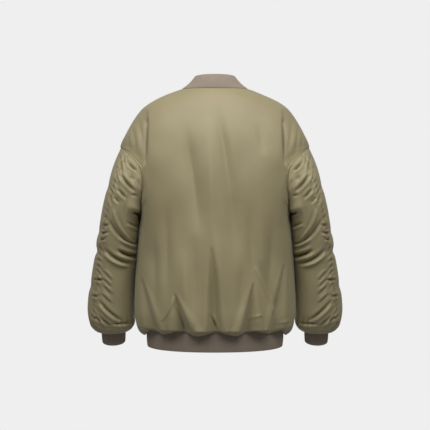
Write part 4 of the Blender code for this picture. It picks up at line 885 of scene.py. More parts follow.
SLEEVE_FOLDS_BACK = (
    # x0,      z0,     x1,     z1,    bow, width, depth, ridge, crest (mm)
    # below the armhole seam
    (226.5, -203.0, 204.0, -223.0,   0.0,  3.4,  6.5,  2.2,  2.2),
    (228.0, -188.5, 192.5, -229.5,   0.0,  4.0, -3.2,  0.0,  0.0),
    (244.0, -234.5, 209.5, -275.5,  -1.6,  4.2,  8.0,  2.7,  3.3),
    (251.5, -271.5, 232.5, -294.0,   0.0,  3.7,  6.5,  3.0,  1.5),
    (261.0, -292.5, 250.5, -307.0,   0.0,  3.2,  5.1,  1.8,  0.0),
    (217.5, -285.5, 201.5, -288.0,   0.0,  2.9,  3.5,  0.0,  0.0),
    (200.5, -245.5, 189.0, -273.0,   0.0,  4.0,  4.6,  0.0,  0.0),
    (220.0, -237.5, 207.0, -248.0,   0.0,  5.3,  2.3,  0.0,  0.0),
    (252.5, -180.5, 243.0, -227.0,   0.0,  3.4,  5.5,  0.0,  2.1),
    (259.5, -208.5, 251.5, -260.0,   0.0,  3.4,  5.2,  0.0,  2.4),
    (279.5, -263.5, 263.5, -286.0,   0.0,  3.4,  4.9,  0.0,  1.2),
    (276.5, -279.5, 268.5, -311.0,   0.0,  3.2,  4.3,  0.0,  0.0),
    # above the elbow
    (230.0, -314.0, 194.0, -322.0,   0.0, 18.0, -11.0, 0.0,  0.0),
    (217.0, -331.0, 189.5, -337.0,   0.0,  3.0, 17.0,  2.0,  1.0),
    (263.5, -324.5, 224.0, -400.5,  -6.9,  4.2, -7.2,  0.0,  0.0),
    (255.5, -329.5, 217.5, -406.0,  -6.3,  4.7,  4.9,  0.0,  0.0),
    (275.5, -353.5, 232.0, -406.5,  -4.2,  4.5,  8.7,  1.5,  0.0),
    (228.0, -357.5, 204.0, -372.0,   0.0,  3.7,  4.6,  3.3,  0.0),
    (246.5, -393.0, 208.0, -417.0,  -3.7,  3.4,  6.5,  6.0,  0.0),
    (297.0, -368.0, 277.0, -363.0,   0.0,  3.2,  3.8,  0.0,  1.8),
    (299.5, -388.0, 279.5, -382.5,   0.0,  3.2,  4.6,  2.2,  1.5),
    (304.0, -405.0, 286.5, -400.0,   0.0,  2.9,  3.8,  1.5,  0.8),
    # at the elbow
    (254.5, -431.0, 206.5, -450.5,  -2.1,  5.0, 13.8,  4.5,  4.5),
    (287.5, -430.5, 224.0, -466.5,  -5.8,  5.0, 10.9,  6.0,  2.2),
    (272.0, -454.0, 234.5, -471.5,  -2.7,  4.0, -2.9,  0.0,  0.0),
    # forearm
    (295.5, -486.0, 275.5, -511.0,   1.6,  3.4,  3.5,  0.0,  3.0),
    (295.5, -507.0, 277.0, -528.5,   1.1,  3.4,  4.1,  0.0,  2.1),
    (296.5, -525.5, 275.5, -548.5,   0.8,  3.7,  4.3,  0.0,  2.4),
    (301.5, -547.0, 277.0, -572.0,   0.8,  3.4,  3.8,  0.0,  2.7),
    (306.0, -568.0, 249.0, -620.5,  -3.2,  4.2,  8.7,  5.1,  1.5),
    (309.0, -605.5, 279.5, -632.0,  -1.6,  3.4,  6.1,  3.0,  1.8),
    (274.5, -626.5, 226.5, -629.0,  -1.1,  3.4,  6.1,  3.0,  0.0),
    (321.0, -510.0, 296.5, -509.0,   0.0,  3.7,  5.2,  1.5,  3.3),
    (329.0, -554.0, 307.5, -553.5,   0.0,  3.7,  3.8,  1.2,  1.8),
    (323.5, -610.5, 305.0, -624.0,   2.1,  3.7,  6.5,  2.4,  2.4),
    (221.5, -462.0, 217.5, -610.5,   0.0,  8.0,  4.3,  0.0,  0.0),
)
SLEEVE_FOLDS_FRONT = (
    (252.0, -205.0, 214.0, -232.0,   0.0,  4.5,  5.8,  2.2,  1.5),
    (250.0, -255.0, 218.0, -290.0,   3.0,  7.0,  8.7,  4.5,  1.5),
    (262.0, -290.0, 232.0, -318.0,   2.0,  5.0,  5.1,  2.2,  1.2),
    (275.0, -338.0, 222.0, -352.0,   3.0,  5.0,  5.8,  3.0,  1.5),
    (282.0, -370.0, 230.0, -395.0,   4.0,  7.0, 11.6,  6.0,  3.0),
    (292.0, -425.0, 235.0, -450.0,   4.0,  7.5, 14.5,  7.5,  3.0),
    (300.0, -452.0, 256.0, -468.0,   2.0,  5.0,  5.8,  3.0,  1.5),
    (300.0, -490.0, 250.0, -515.0,   3.0,  8.0,  8.7,  6.0,  2.2),
    (304.0, -535.0, 262.0, -552.0,   2.0,  5.0,  4.3,  2.2,  1.5),
    (306.0, -570.0, 252.0, -600.0,   4.0,  8.0, 10.2,  6.0,  2.2),
    (300.0, -612.0, 262.0, -626.0,   2.0,  5.0,  5.8,  3.0,  1.5),
)
SLEEVE_NOTCHES = (
    # z,     half width, depth of a notch in the sleeve's outer side
    (-.2600, 0.0130, 0.0020), (-.3830, 0.0120, 0.0025), (-.4340, 0.0110, 0.0045), (-.5290, 0.0130, 0.0025),
)
SOFT_SEAM = 2.4 * MM           # the long seams draw in this much less sharply than the sewn ends
GATHER_PITCH, GATHER_HEIGHT, GATHER_REACH = 0.0165, 2.0 * MM, 0.012
GATHER_SLANT = -0.9, 0.225     # how far they run down for each metre from the seam: back side, outer side
GATHER_STRAY = 1.6, 0.06       # how unevenly they are spaced: radians, over metres
GATHER_MEAN, GATHER_RANGE, GATHER_SPREAD = 0.62, (0.10, 1.25), (1.1, 0.11)
SLEEVE_WAVE = 1.0 * MM, 0.070
SLEEVE_TOP_FADE = 0.012
UNDERARM_LEAN = (
    # z, how far the cloth in front leans in, where it rests against the side
    (-.322, 0.0), (-.334, 0.011), (-.345, 0.013), (-.40, 0.010), (-.58, 0.010), (-.625, 0.0),
)
UNDERARM_ANGLE, UNDERARM_SPREAD = 215.0, 24.0
CUFF_PLEAT, CUFF_PLEAT_HEIGHT, CUFF_PLEAT_REACH = 0.016, 1.3 * MM, 0.016
CUFF_PLEAT_STRAY = 2.0, 0.05
SLEEVE_GIRTH = 0.36


def ring_angles(z, angles):
    """The sleeve's columns at one height, turned to follow the wandering ruched seam."""
    seam = read(RUCHED, z)[0, 0]
    return np.radians(np.interp(angles, (0.0, SEAM_ANGLE, 180.0, 360.0), (0.0, seam, 180.0, 360.0)))


def ring(z, angles):
    """The sleeve once round at one height: cos and sin to the power SQUARE, sheared to the tilt."""
    x, half_w, y, half_d = read(SLEEVE, z)[0]
    a = ring_angles(z, angles)
    side, deep = (reach * np.sign(w) * np.abs(w) ** SQUARE
                  for reach, w in ((half_w, np.cos(a)), (half_d, np.sin(a))))
    lean = CUFF_TILT * np.clip((TILT_FROM - z) / TILT_FADE, 0.0, 1.0)
    return np.column_stack((x + side, y + deep, z - math.tan(lean) * deep))


def cuff_ring(below, grow, a):
    """A ring of the cuff at a distance below its seam along the forearm."""
    cos, sin = math.cos(CUFF_TILT), math.sin(CUFF_TILT)
    side, deep = (CUFF_HALF_WIDTH + grow) * np.cos(a), (CUFF_HALF_DEPTH + grow) * np.sin(a)
    return np.column_stack((CUFF_X + side, CUFF_Y - sin * below + cos * deep,
                            CUFF_SEAM_Z - cos * below - sin * deep))


def loft(loop, leave, first, arrive):
    """Rows from the armhole to the first ring, on a Hermite curve down each column."""
    span = np.linalg.norm(first - loop, axis=1)[:, None]
    return hermite(LOFT_STEPS[:, None, None], loop, span * leave, first, span * arrive)


def all_round(angles, of_half):
    """Values once round the armhole: the back half's to 180 degrees, then the front half's."""
    angle = np.minimum(angles, 360.0 - angles)
    return np.where(angles[:, None] > 180.0, of_half(angle, False), of_half(angle, True))


def setting_out(angles, back):
    """The direction in which the sleeve leaves the armhole."""
    return unit(read(SLEEVE_START, angles)) * (1.0, 1.0 if back else -1.0, 1.0)


# the ring's columns: fine steps between the coarse angles
fine_angles = between(np.append(SLEEVE_ANGLES, 360.0), ARM_STEPS)[:-1]
leave, loop = all_round(SLEEVE_ANGLES, setting_out), all_round(SLEEVE_ANGLES, armhole)
heights = np.linspace(SLEEVE[0][0], SLEEVE[-1][0], RING_ROWS)
first, second = ring(heights[0], SLEEVE_ANGLES), ring(heights[0] - 0.004, SLEEVE_ANGLES)
coarse = np.concatenate((loft(loop, leave, first, unit(second - first)),
                         np.array([ring(z, SLEEVE_ANGLES) for z in heights])))
knots = row_knots(coarse)
steps = np.where(np.arange(len(coarse) - 1) < len(LOFT_STEPS), LOFT_FINE, RING_FINE)
round_knots = np.concatenate((SLEEVE_ANGLES[-4:] - 360.0, SLEEVE_ANGLES, SLEEVE_ANGLES[:4] + 360.0))
wrapped = np.concatenate((coarse[:, -4:], coarse, coarse[:, :4]), axis=1)
sleeve = np.einsum("ri,ijk,cj->rck", curve_weights(knots, between(knots, steps)), wrapped,
                   curve_weights(round_knots, fine_angles), optimize=True)
follow = (1.0 - np.arange(FOLLOW_ROWS) / FOLLOW_ROWS) ** 2
sleeve[:FOLLOW_ROWS] += (all_round(fine_angles, armhole) - sleeve[0]) * follow[:, None, None]


def ring_normals(grid):
    """Outward normals of a grid whose columns run once round."""
    n = unit(np.cross(np.roll(grid, -1, axis=1) - np.roll(grid, 1, axis=1), np.gradient(grid, axis=0)))
    return n if np.sum(n * (grid - grid.mean(axis=1, keepdims=True))) > 0 else -n


SEAM_COL = BACK_ANGLES.index(SEAM_ANGLE) * ARM_STEPS
UNDER_COL = (len(BACK_ANGLES) - 1) * ARM_STEPS
bunch = np.exp(-((fine_angles - UNDERARM_ANGLE) / UNDERARM_SPREAD) ** 2)
sleeve[..., 0] -= read(UNDERARM_LEAN, sleeve[..., 2].ravel()).reshape(sleeve.shape[:2]).clip(0.0) * bunch
normals = ring_normals(sleeve)
height = sum(fold(sleeve, *row) for row in SLEEVE_FOLDS_BACK) * facing(normals, 1.0)
height += sum(fold(sleeve, *row) for row in SLEEVE_FOLDS_FRONT) * facing(normals, -1.0)
outer_side = np.clip(normals[..., 0], 0.0, 1.0) ** 2
for z, width, depth in SLEEVE_NOTCHES:
    height -= depth * outer_side * np.exp(-((sleeve[..., 2] - z) / width) ** 2)
ruched = sleeve[:, SEAM_COL:SEAM_COL + 1]
away = np.linalg.norm(sleeve - ruched, axis=2)
side = np.sign(np.arange(len(fine_angles)) - SEAM_COL)
along = arc(ruched) + away * np.where(side > 0, *GATHER_SLANT)[None, :]
beat = 2 * math.pi * along / GATHER_PITCH + waviness(sleeve, *GATHER_STRAY, 21)
strength = np.clip(GATHER_MEAN + waviness(sleeve, *GATHER_SPREAD, 24), *GATHER_RANGE)
crimp = np.abs(np.sin(0.5 * beat)) ** 0.8 * 2.0 - 1.3      # broad crests and narrow furrows
height += GATHER_HEIGHT * strength * np.exp(-(away / GATHER_REACH) ** 2) * crimp
height += waviness(sleeve, *SLEEVE_WAVE, 22)
low = np.exp(-((sleeve[..., 2] - SLEEVE[-1][0]) / CUFF_PLEAT_REACH) ** 2)
beat = 2 * math.pi * fine_angles / 360.0 * SLEEVE_GIRTH / CUFF_PLEAT + waviness(sleeve, *CUFF_PLEAT_STRAY, 23)
height += CUFF_PLEAT_HEIGHT * low * np.sin(beat)
fade = np.clip(arc(sleeve) / SLEEVE_TOP_FADE, 0.0, 1.0)
sleeve = sleeve + normals * (height * fade)[..., None]

turned = ring_angles(RUCHED[-1][0], fine_angles)
last, cuff = sleeve[-1], cuff_ring(0.0, RIB_GAP, turned)
rows = [sleeve[-1 - 2 * RING_FINE], sleeve[-1 - RING_FINE], last]
for out, z in SLEEVE_TUCK:
    row = cuff + (last - cuff) * out
    row[:, 2] += (z - CUFF_SEAM_Z) - (last[:, 2] - cuff[:, 2]) * out
    rows.append(row)
rows = np.array(rows)
knots = row_knots(rows)
turned_in = curve_weights(knots, np.linspace(knots[2], knots[-1], SLEEVE_TUCK_FINE + 1)[1:])
sleeve = np.concatenate((sleeve, np.einsum("ri,ijk->rjk", turned_in, rows)))

normals = ring_normals(sleeve)
normals[0] = all_round(fine_angles, armhole_out)
normals[-1] = np.array((0.0, -math.sin(CUFF_TILT), -math.cos(CUFF_TILT))) * TUCKED
sleeve_cols = {"back": np.arange(SEAM_COL, UNDER_COL + 1),
               "front": np.arange(UNDER_COL, len(fine_angles) + SEAM_COL + 1) % len(fine_angles)}
for side, flip in SIDES:
    for part, cols in sleeve_cols.items():
        grid, outward = sleeve[:, cols], normals[:, cols]
        mid, distance = sewn(grid, outward, SOFT_SEAM)
        name = "sleeve_%s_%s" % (side, part)
        mid, outward = inset_sides(mid, (0, -1)) * (flip, 1.0, 1.0), outward * (flip, 1.0, 1.0)
        laid[name] = mid + outward * 0.5 * WALL, outward
        shell[name] = panel(name + "_shell", mid, outward, distance)
        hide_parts(name)

# ================================================================== the collar, hem rib and cuffs
# Rib knit in a warm taupe, each piece doubled: folded at its free edge and sewn to the satin by its
# two raw edges. The collar stands up and leans in, and the hem rib and cuffs draw the satin in.
RIB_WALL = 3.0 * MM
RIB_PITCH = 3.1 * MM
WALE_HEIGHT, WALE_LEVEL = 0.55 * MM, 0.35    # its height, and the share above the wall's face
SEWN_PINCH, PINCH_REACH = 0.55, 1.4 * MM     # how much thinner the rib is at its sewn edge, how far up
WALE_COLS = 6                  # columns in one wale
RIB_ROWS, FOLD_STEPS = 9, 7    # rows up each side, steps round the folded edge
RIB_YARN = "978A7C"
RIB_YARN_DARK = "827568"
RIB_SHEEN = "C9BBA6"
COURSE = 1.5 * MM              # one course of stitches, real size
COLLAR = (
    # up,    back,   side,   front (how far it leans in)
    (0.0000, 0.0000, 0.0000, 0.0000),
    (0.0135, 0.0045, 0.0170, 0.0060),
    (0.0290, 0.0125, 0.0305, 0.0145),
    (0.0395, 0.0205, 0.0380, 0.0230),
)
COLLAR_SIDE_HEIGHT = 0.90      # height at the side as a share of that at the back
NECK_HALF_WIDTH, NECK_HALF_DEPTH = 0.09, 0.085
CUFF_POINTS = 144
HEM_RIB = (
    # z,     inset
    (-0.625, 0.0000), (-0.647, 0.0000), (-0.672, 0.0008), (-0.690, 0.0028),
)
CUFF_RIB = (
    # below, inset
    (-0.005, 0.0000), (0.018, 0.0000), (0.040, 0.0006), (0.0545, 0.0018),
)

rib_knit, tree, shader = surface("rib_knit", Roughness=0.88, IOR=1.5, Specular_IOR_Level=0.30,
                                 Sheen_Weight=0.35, Sheen_Roughness=0.5, Sheen_Tint=linear(RIB_SHEEN))
cut = add(tree, "ShaderNodeUVMap", {"uv_map": "cut"})
yarn = add(tree, "ShaderNodeTexNoise", {"Scale": 420.0, "Detail": 3.0, "Roughness": 0.7},
           (("Vector", cut, "UV"),))
melange = add(tree, "ShaderNodeMix", {"data_type": "RGBA", 6: linear(RIB_YARN_DARK), 7: linear(RIB_YARN)},
              ((0, yarn, "Fac"),))
# painted shade: the knit's colour is darkened just beside its sewn edges
seam_shade(tree, (melange, 2), shader)
courses = add(tree, "ShaderNodeTexWave",
              {"wave_type": "BANDS", "bands_direction": "Y", "Scale": BAND / COURSE, "Distortion": 1.2,
               "Detail": 2.0}, (("Vector", cut, "UV"),))
course_bump = add(tree, "ShaderNodeBump", {"Strength": 0.45, "Distance": 0.4 * MM},
                  (("Height", courses, "Fac"),))
fuzz = add(tree, "ShaderNodeBump", {"Strength": 0.35, "Distance": 0.3 * MM},
           (("Height", yarn, "Fac"), ("Normal", course_bump, "Normal")))
tree.links.new(fuzz.outputs["Normal"], shader.inputs["Normal"])


def around(of_left, of_back, of_right):
    """One row from the zip's left edge round the back to its right edge."""
    return np.vstack((of_left, of_back[::-1][1:], of_right[::-1][1:] * MIRRORED))


def spaced(rows, ring):
    """Rows of points laid out again so that whole wales of equal width run along them."""
    if ring:
        rows = np.concatenate((rows, rows[:, :1]), axis=1)
    length = arc(rows.mean(axis=0))
    wales = round(length[-1] / RIB_PITCH)
    at = np.linspace(0.0, length[-1], wales * WALE_COLS + 1)
    across = curve_weights(length, at[:-1] if ring else at)
    return np.einsum("rik,ci->rck", rows, across)


def facing_along(points, faces, way, one):
    """Faces turned, if need be, so that the one with that number looks the given way."""
    a, b, c, d = points.reshape(-1, 3)[faces[one]]
    return faces if np.dot(np.cross(c - a, d - b), way) > 0 else faces[:, ::-1]


def rib_wall(name, rows, ring, depth):
    """A doubled rib from its sewn edge (the first row) to its fold (the last), its wall between
    the rows' surface and `depth` inside it. With t the way up, n the outward direction, r half the
    wall and w a wale's height, a point is middle(t) + (r + w) (n cos f + up sin f), where f is 0
    on the outer face, turns to pi round the fold and stays there down the inner face."""
    rows = spaced(rows, ring)
    if ring:
        n = ring_normals(rows)
    else:
        n = grid_normals(rows, rows - rows.mean(axis=1, keepdims=True))
        n[:, (0, -1), 0] = 0.0
        n = unit(n)
    middle = rows - n * depth
    knots, r = row_knots(middle), 0.5 * RIB_WALL
    rise = np.linspace(0.0, knots[-1] - r, RIB_ROWS + 1)
    turn = np.linspace(0.0, math.pi, FOLD_STEPS + 1)[1:-1]
    t = np.concatenate((rise, knots[-1] - r + r * np.sin(turn), rise[::-1]))
    f = np.concatenate((np.zeros(len(rise)), turn, np.full(len(rise), math.pi)))[:, None, None]
    weights = curve_weights(knots, t)
    at, out = np.einsum("ri,ijk->rjk", weights, middle), unit(np.einsum("ri,ijk->rjk", weights, n))
    up = unit(np.einsum("ri,ijk->rjk", curve_weights(knots, t + 1e-4) - weights, middle))
    phase = np.arange(rows.shape[1]) / WALE_COLS
    wale = WALE_HEIGHT * (WALE_LEVEL - np.abs(np.cos(math.pi * phase)) ** 3)
    pinch = 1.0 - SEWN_PINCH * np.exp(-(t / PINCH_REACH) ** 2)
    thick = (r + wale[None, :]) * pinch[:, None]
    along_fold = np.where((f > 0.0) & (f < math.pi), r, 0.0) * up * np.sin(f)
    points = at - along_fold + thick[..., None] * (out * np.cos(f) + up * np.sin(f))
    count, cols = points.shape[:2]
    number = numbered(points)
    faces = quads(np.concatenate((number, number[:1])), ring)
    faces = facing_along(points, faces, out[0, cols // 2], cols // 2).tolist()
    if not ring:
        half = np.arange(count // 2 - 1)
        for end, beside in ((0, 1), (cols - 1, cols - 2)):
            n = number[:, end]
            cap = np.column_stack((n[half], n[half + 1], n[count - 2 - half], n[count - 1 - half]))
            faces += facing_along(points, cap, points[4, end] - points[4, beside], 4).tolist()
    girth = RIB_PITCH * cols / WALE_COLS
    lay = np.stack(np.meshgrid(np.linspace(0.0, girth, cols), t), axis=-1)
    # the distance up from the sewn edges sets the painted seam shade
    return mesh_piece(name, points, faces, rib_knit, lay, lay[..., 1]), girth, knots[-1]


neck = around(front_side["left"][0], back[0], front_side["right"][0])
from_axis = neck[:, :2] - (0.0, Y_MID)
turn = np.arctan2(np.abs(from_axis[:, 0]) / NECK_HALF_WIDTH, from_axis[:, 1] / NECK_HALF_DEPTH)  # 0 behind
side_part = np.sin(turn) ** 2
back_part = (1.0 - side_part) * (from_axis[:, 1] > 0)
front_part = (1.0 - side_part) * (from_axis[:, 1] <= 0)
collar_rows = []
for up, lean_back, lean_side, lean_front in COLLAR:
    lean = back_part * lean_back + side_part * lean_side + front_part * lean_front
    row = neck.copy()
    row[:, :2] -= unit(from_axis) * lean[:, None]
    row[:, 2] += SEAM + up * (1.0 - side_part * (1.0 - COLLAR_SIDE_HEIGHT))
    row[0, 0], row[-1, 0] = ZIP_EDGE, -ZIP_EDGE
    collar_rows.append(row)
rib = {"collar": rib_wall("collar_knit", np.array(collar_rows), False, 0.0)}
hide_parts("collar_rib")

hem_rows = []
for z, inset in HEM_RIB:
    of_front, of_back = hem_outline(False, -inset), hem_outline(True, -inset)
    flat = around(*(np.column_stack((row, np.full(len(row), z))) for row in (of_front, of_back, of_front)))
    hem_rows.append(flat)
rib["hem"] = rib_wall("hem_knit", np.array(hem_rows), False, 0.5 * RIB_WALL)
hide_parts("hem_rib")

round_cuff = np.linspace(0.0, 2.0 * math.pi, CUFF_POINTS + 1)[:-1]
cuff_rows = np.array([cuff_ring(below, -inset, round_cuff) for below, inset in CUFF_RIB])
for side, flip in SIDES:
    rib[side] = rib_wall("cuff_knit_" + side, cuff_rows * (flip, 1.0, 1.0), True, 0.5 * RIB_WALL)
    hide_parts("cuff_" + side)

# ================================================================== the zip
# A separating zip closed to the neck: two woven tapes sewn behind the fronts' edges, a row of cast
# teeth on each that lock at the middle, a pin and box at the hem, and the slider with its pull tab.
TAPE_WALL = 1.2 * MM
TAPE_FROM, TAPE_TO = 2.2 * MM, 9.5 * MM
CORE_RADIUS = 1.25 * MM        # the cord along the tape's edge that the teeth grip
TAPE_ROW = 3.0 * MM
TOOTH_PITCH = 2.2 * MM
TOOTH_THICK = 2.5 * MM
FIRST_TOOTH = 2.5 * MM         # how far below the neck seam the chain starts
TOOTH_OUTLINE = (
    # across, along (mm)
    (3.1, -0.60), (1.3, -0.52), (0.55, -0.34), (-0.15, -0.50), (-0.70, -0.26),
    (-0.70, 0.26), (-0.15, 0.50), (0.55, 0.34), (1.3, 0.52), (3.1, 0.60),
)
BOX_HALF_WIDTH, BOX_HALF_THICK, BOX_HEIGHT = 4.6 * MM, 1.9 * MM, 9.0 * MM
BOX_OUTLINE = (
    # across, through, as shares of its half width and half thickness
    (-1.0, -0.72), (-0.80, -1.0), (0.80, -1.0), (1.0, -0.72),
    (1.0, 0.72), (0.80, 1.0), (-0.80, 1.0), (-1.0, 0.72),
)
BOX_LEVELS = ((0.0, 0.90), (0.4 * MM, 1.0), (BOX_HEIGHT - 0.6 * MM, 1.0), (BOX_HEIGHT, 0.90))   # down, size
TAPE_DYE = "5D553B"
TWILL = 1.6 * MM               # one diagonal of the tape, drawn at twice its size so that it shows
NICKEL_TARNISHED, NICKEL, NICKEL_RUBBED = "8C8778", "B5B0A2", "CFCBC0"

zip_weave, tree, shader = surface("woven_zip_tape", Roughness=0.85, IOR=1.5, Specular_IOR_Level=0.30,
                                  Sheen_Weight=0.25, Sheen_Roughness=0.5)
cut = add(tree, "ShaderNodeUVMap", {"uv_map": "cut"})
twill = add(tree, "ShaderNodeTexWave",
            {"wave_type": "BANDS", "bands_direction": "DIAGONAL", "Scale": BAND / TWILL, "Distortion": 0.4,
             "Detail": 1.0}, (("Vector", cut, "UV"),))
tone = add(tree, "ShaderNodeMapRange", {"To Min": 0.80, "To Max": 1.05}, (("Value", twill, "Fac"),))
woven = add(tree, "ShaderNodeMix", {"data_type": "RGBA", "blend_type": "MULTIPLY", "Factor": 1.0,
                                    6: linear(TAPE_DYE)}, ((7, tone, "Result"),))
tree.links.new(woven.outputs[2], shader.inputs["Base Color"])
twill_bump = add(tree, "ShaderNodeBump", {"Strength": 0.4, "Distance": 0.3 * MM}, (("Height", twill, "Fac"),))
tree.links.new(twill_bump.outputs["Normal"], shader.inputs["Normal"])

# cast zinc, nickel plated and dulled, rubbed bright where the slider runs over it
nickel, tree, shader = surface("dulled_nickel", Metallic=1.0, IOR=2.0)
place = add(tree, "ShaderNodeNewGeometry")
tarnish = add(tree, "ShaderNodeTexNoise", {"Scale": 260.0, "Detail": 4.0, "Roughness": 0.6},
              (("Vector", place, "Position"),))
rubbed = add(tree, "ShaderNodeMapRange", {"From Min": 0.48, "From Max": 0.56},
             (("Value", place, "Pointiness"),))
plate = add(tree, "ShaderNodeMix", {"data_type": "RGBA", 6: linear(NICKEL_TARNISHED), 7: linear(NICKEL)},
            ((0, tarnish, "Fac"),))
wear_and_seam_shade = add(tree, "ShaderNodeMix", {"data_type": "RGBA", 7: linear(NICKEL_RUBBED)},
           ((0, rubbed, "Result"), (6, plate, 2)))
tree.links.new(wear_and_seam_shade.outputs[2], shader.inputs["Base Color"])
dull = add(tree, "ShaderNodeMapRange", {"To Min": 0.26, "To Max": 0.46}, (("Value", tarnish, "Fac"),))
tree.links.new(dull.outputs["Result"], shader.inputs["Roughness"])

hem_face = -(HEM_HALF_DEPTH - 0.5 * RIB_WALL)
hem_end = np.array(((hem_face, HEM_SEAM_Z - 0.006), (hem_face + HEM_RIB[-1][1], HEM_RIB[-1][0])))
zip_line = np.vstack((half_front[:-1, 0, 1:], hem_end))
zip_knots = arc(zip_line)
zip_end = zip_knots[-1]


def on_zip(s, x, lift):
    """Points at distances s down the zip, x to the side and lifted off its plane, outward."""
    at = curve_weights(zip_knots, s) @ zip_line
    run = unit(curve_weights(zip_knots, np.minimum(s + 1e-3, zip_end)) @ zip_line
               - curve_weights(zip_knots, np.maximum(s - 1e-3, 0.0)) @ zip_line)
    out = np.column_stack((run[:, 1], -run[:, 0]))
    out *= np.where(out[:, :1] > 0, -1.0, 1.0)
    return np.stack((np.broadcast_to(x, np.broadcast(s, x, lift).shape), at[:, 0] + out[:, 0] * lift,
                     at[:, 1] + out[:, 1] * lift), axis=-1)


turn = np.radians(np.linspace(65.0, 295.0, 9))
core_x, core_n = TAPE_FROM + CORE_RADIUS * (1.0 + np.cos(turn)), CORE_RADIUS * np.sin(turn)
edge_x = np.array((TAPE_TO, TAPE_TO - 2.0 * MM, 5.5 * MM))
tape_x = np.concatenate((edge_x, core_x, edge_x[::-1]))
tape_n = np.concatenate((np.full(3, 0.5 * TAPE_WALL), core_n, np.full(3, -0.5 * TAPE_WALL)))
stops = np.linspace(0.0, zip_end, round(zip_end / TAPE_ROW))
tape_lay = np.stack(np.meshgrid(arc(np.column_stack((tape_x, tape_n))), stops), axis=-1)
for side, flip in SIDES:
    grid = np.stack([on_zip(stops, flip * x, n) for x, n in zip(tape_x, tape_n)], axis=1)
    number = numbered(grid)
    faces = facing_along(grid, quads(number, True), np.array((0.0, -1.0, 0.0)), 0).tolist()
    ends = [number[0].tolist(), number[-1].tolist()]
    faces += [end if (flip > 0) == first else end[::-1] for end, first in zip(ends, (True, False))]
    mesh_piece("zip_tape_woven_" + side, grid, faces, zip_weave, tape_lay)
    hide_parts("zip_tape_" + side)

# the right side's teeth sit half a pitch below the left's, so that their heads lock
outline = np.array(TOOTH_OUTLINE) * MM
corners = len(outline)
front_face, back_face = np.arange(corners), np.arange(corners) + corners
sides = np.column_stack((front_face, np.roll(front_face, -1), np.roll(back_face, -1), back_face)).tolist()
one_tooth = [front_face[::-1].tolist(), back_face.tolist()] + sides
count = int((zip_end - BOX_HEIGHT - FIRST_TOOTH) / TOOTH_PITCH)
for side, flip in SIDES:
    down = FIRST_TOOTH + (np.arange(count) + (0.0 if flip > 0 else 0.5)) * TOOTH_PITCH
    s = (down[:, None] + outline[:, 1]).ravel()
    x = np.tile(flip * outline[:, 0], count)
    points = np.concatenate([on_zip(s, x, lift).reshape(count, corners, 3)
                             for lift in (0.5 * TOOTH_THICK, -0.5 * TOOTH_THICK)], axis=1)
    way = -1 if flip > 0 else 1
    faces = [[v + 2 * corners * tooth for v in face[::way]] for tooth in range(count) for face in one_tooth]
    mesh_piece("zip_teeth_" + side, points, faces, nickel)

# the box that the pin slides into, at the foot of the chain
x, lift = (np.array(BOX_OUTLINE) * (BOX_HALF_WIDTH, BOX_HALF_THICK)).T
points = np.array([on_zip(np.full(len(x), zip_end - BOX_HEIGHT + down), x * size, lift * size)
                   for down, size in BOX_LEVELS])
number = numbered(points)
faces = facing_along(points, quads(number, True), points[1, 5] - points[1, 1], len(x) + 1).tolist()
faces += [number[0].tolist(), number[-1, ::-1].tolist()]
mesh_piece("zip_box", points, faces, nickel)

for name in ("zip_slider", "zip_pull"):
    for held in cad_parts[name].material_slots:
        held.material = nickel

# ================================================================== the sewing
# Two rows of topstitching hold the turnings flat beside each armhole and beside the zip, and one
# row lies on each side of the sleeves' ruched seams: lockstitch in spun polyester thread.
STITCH, STITCH_GAP = 2.7 * MM, 0.7 * MM
STITCH_COLS = 26               # fine columns beside an edge that the rows of stitches may lie in
THREAD = 0.32 * MM             # half its thickness
THREAD_DYE = "6E6446"

spun_thread, _, shader = surface("spun_polyester_thread", Roughness=0.62, IOR=1.5, Specular_IOR_Level=0.40,
                                 Sheen_Weight=0.20)
shader.inputs["Base Color"].default_value = linear(THREAD_DYE)


def edge_line(name, rows, col, away):
    """A line on a panel's outer face at a distance from an edge column, and its normals."""
    take = slice(0, STITCH_COLS) if col == 0 else slice(None, -STITCH_COLS - 1, -1)
    points, normals = (part[rows, take] for part in laid[name])
    reach = along_rows(points)
    row, last = np.arange(len(points)), np.argmax(reach > away, axis=1)
    share = ((away - reach[row, last - 1]) / (reach[row, last] - reach[row, last - 1]))[:, None]
    line = points[row, last - 1] + share * (points[row, last] - points[row, last - 1])
    return line, unit(normals[row, last - 1] + share * (normals[row, last] - normals[row, last - 1]))


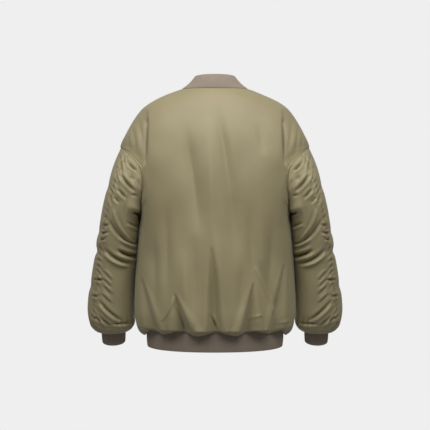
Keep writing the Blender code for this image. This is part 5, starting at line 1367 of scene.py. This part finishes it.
def stitches(line, normals):
    """Short threads laid along a line: five rings of five points each. At t along a stitch the
    ring's middle is lifted THREAD sin(pi t) off the cloth, and its ends are drawn to half."""
    t = np.array((0.0, 0.12, 0.5, 0.88, 1.0))
    count = int(arc(line)[-1] / (STITCH + STITCH_GAP))
    at = (np.arange(count)[:, None] * (STITCH + STITCH_GAP) + t * STITCH).ravel()
    middle, out = at_distance(line, at), unit(at_distance(line, at, normals))
    ahead, behind = at_distance(line, at + 0.5 * MM), at_distance(line, at - 0.5 * MM)
    across = unit(np.cross(unit(ahead - behind), out))
    lift = np.tile(THREAD * np.sin(math.pi * t), count)[:, None]
    thick = np.tile(THREAD * np.array((0.5, 1.0, 1.0, 1.0, 0.5)), count)[:, None, None]
    a = np.radians(np.arange(5) * 72.0)[None, :, None]
    rings = (middle + out * lift)[:, None] + thick * (out[:, None] * np.cos(a) + across[:, None] * np.sin(a))
    return rings.reshape(-1, 25, 3)


one_stitch = quads(np.arange(25).reshape(5, 5), True)[:, (0, 3, 2, 1)].tolist()
one_stitch += [[0, 1, 2, 3, 4], [24, 23, 22, 21, 20]]
all_rows = slice(0, len(sleeve) - SLEEVE_TUCK_FINE)
SEWN_LINES = {
    # panel: (rows, edge column, distances from the edge)
    "back": ((arm_rows[True], -1, TOPSTITCH), (arm_rows[True], 0, TOPSTITCH)),
    "left": ((arm_rows[False], -1, TOPSTITCH), (zip_rows, 0, TOPSTITCH)),
    "right": ((arm_rows[False], -1, TOPSTITCH), (zip_rows, 0, TOPSTITCH)),
    "sleeve_left_back": ((all_rows, 0, TOPSTITCH[:1]),),
    "sleeve_left_front": ((all_rows, -1, TOPSTITCH[:1]),),
    "sleeve_right_back": ((all_rows, 0, TOPSTITCH[:1]),),
    "sleeve_right_front": ((all_rows, -1, TOPSTITCH[:1]),),
}
for name, lines in SEWN_LINES.items():
    threads = np.concatenate([stitches(*edge_line(name, rows, col, away))
                              for rows, col, distances in lines for away in distances])
    middle = threads.mean(axis=1, keepdims=True)
    a, b, c, d = threads[0, one_stitch[5]]
    order = 1 if np.dot(np.cross(c - a, d - b), 0.25 * (a + b + c + d) - middle[0, 0]) > 0 else -1
    faces = [[25 * i + v for v in face[::order]] for i in range(len(threads)) for face in one_stitch]
    mesh_piece("topstitch_" + name, threads, faces, spun_thread)

# ================================================================== the cuts of cloth
# The size of each satin panel's cut, as far as it shows, measured from the panel as it hangs.


def cut_size(name):
    """Width, height and area in metres of a satin piece's cut: its longest row, its middling
    column, and half the surface of its closed wall."""
    grid = laid[name][0]
    area = np.empty(len(shell[name].data.polygons))
    shell[name].data.polygons.foreach_get("area", area)
    return float(along_rows(grid)[:, -1].max()), float(np.median(arc(grid)[-1])), 0.5 * float(area.sum())


for name, piece in shell.items():
    width, height, area = cut_size(name)
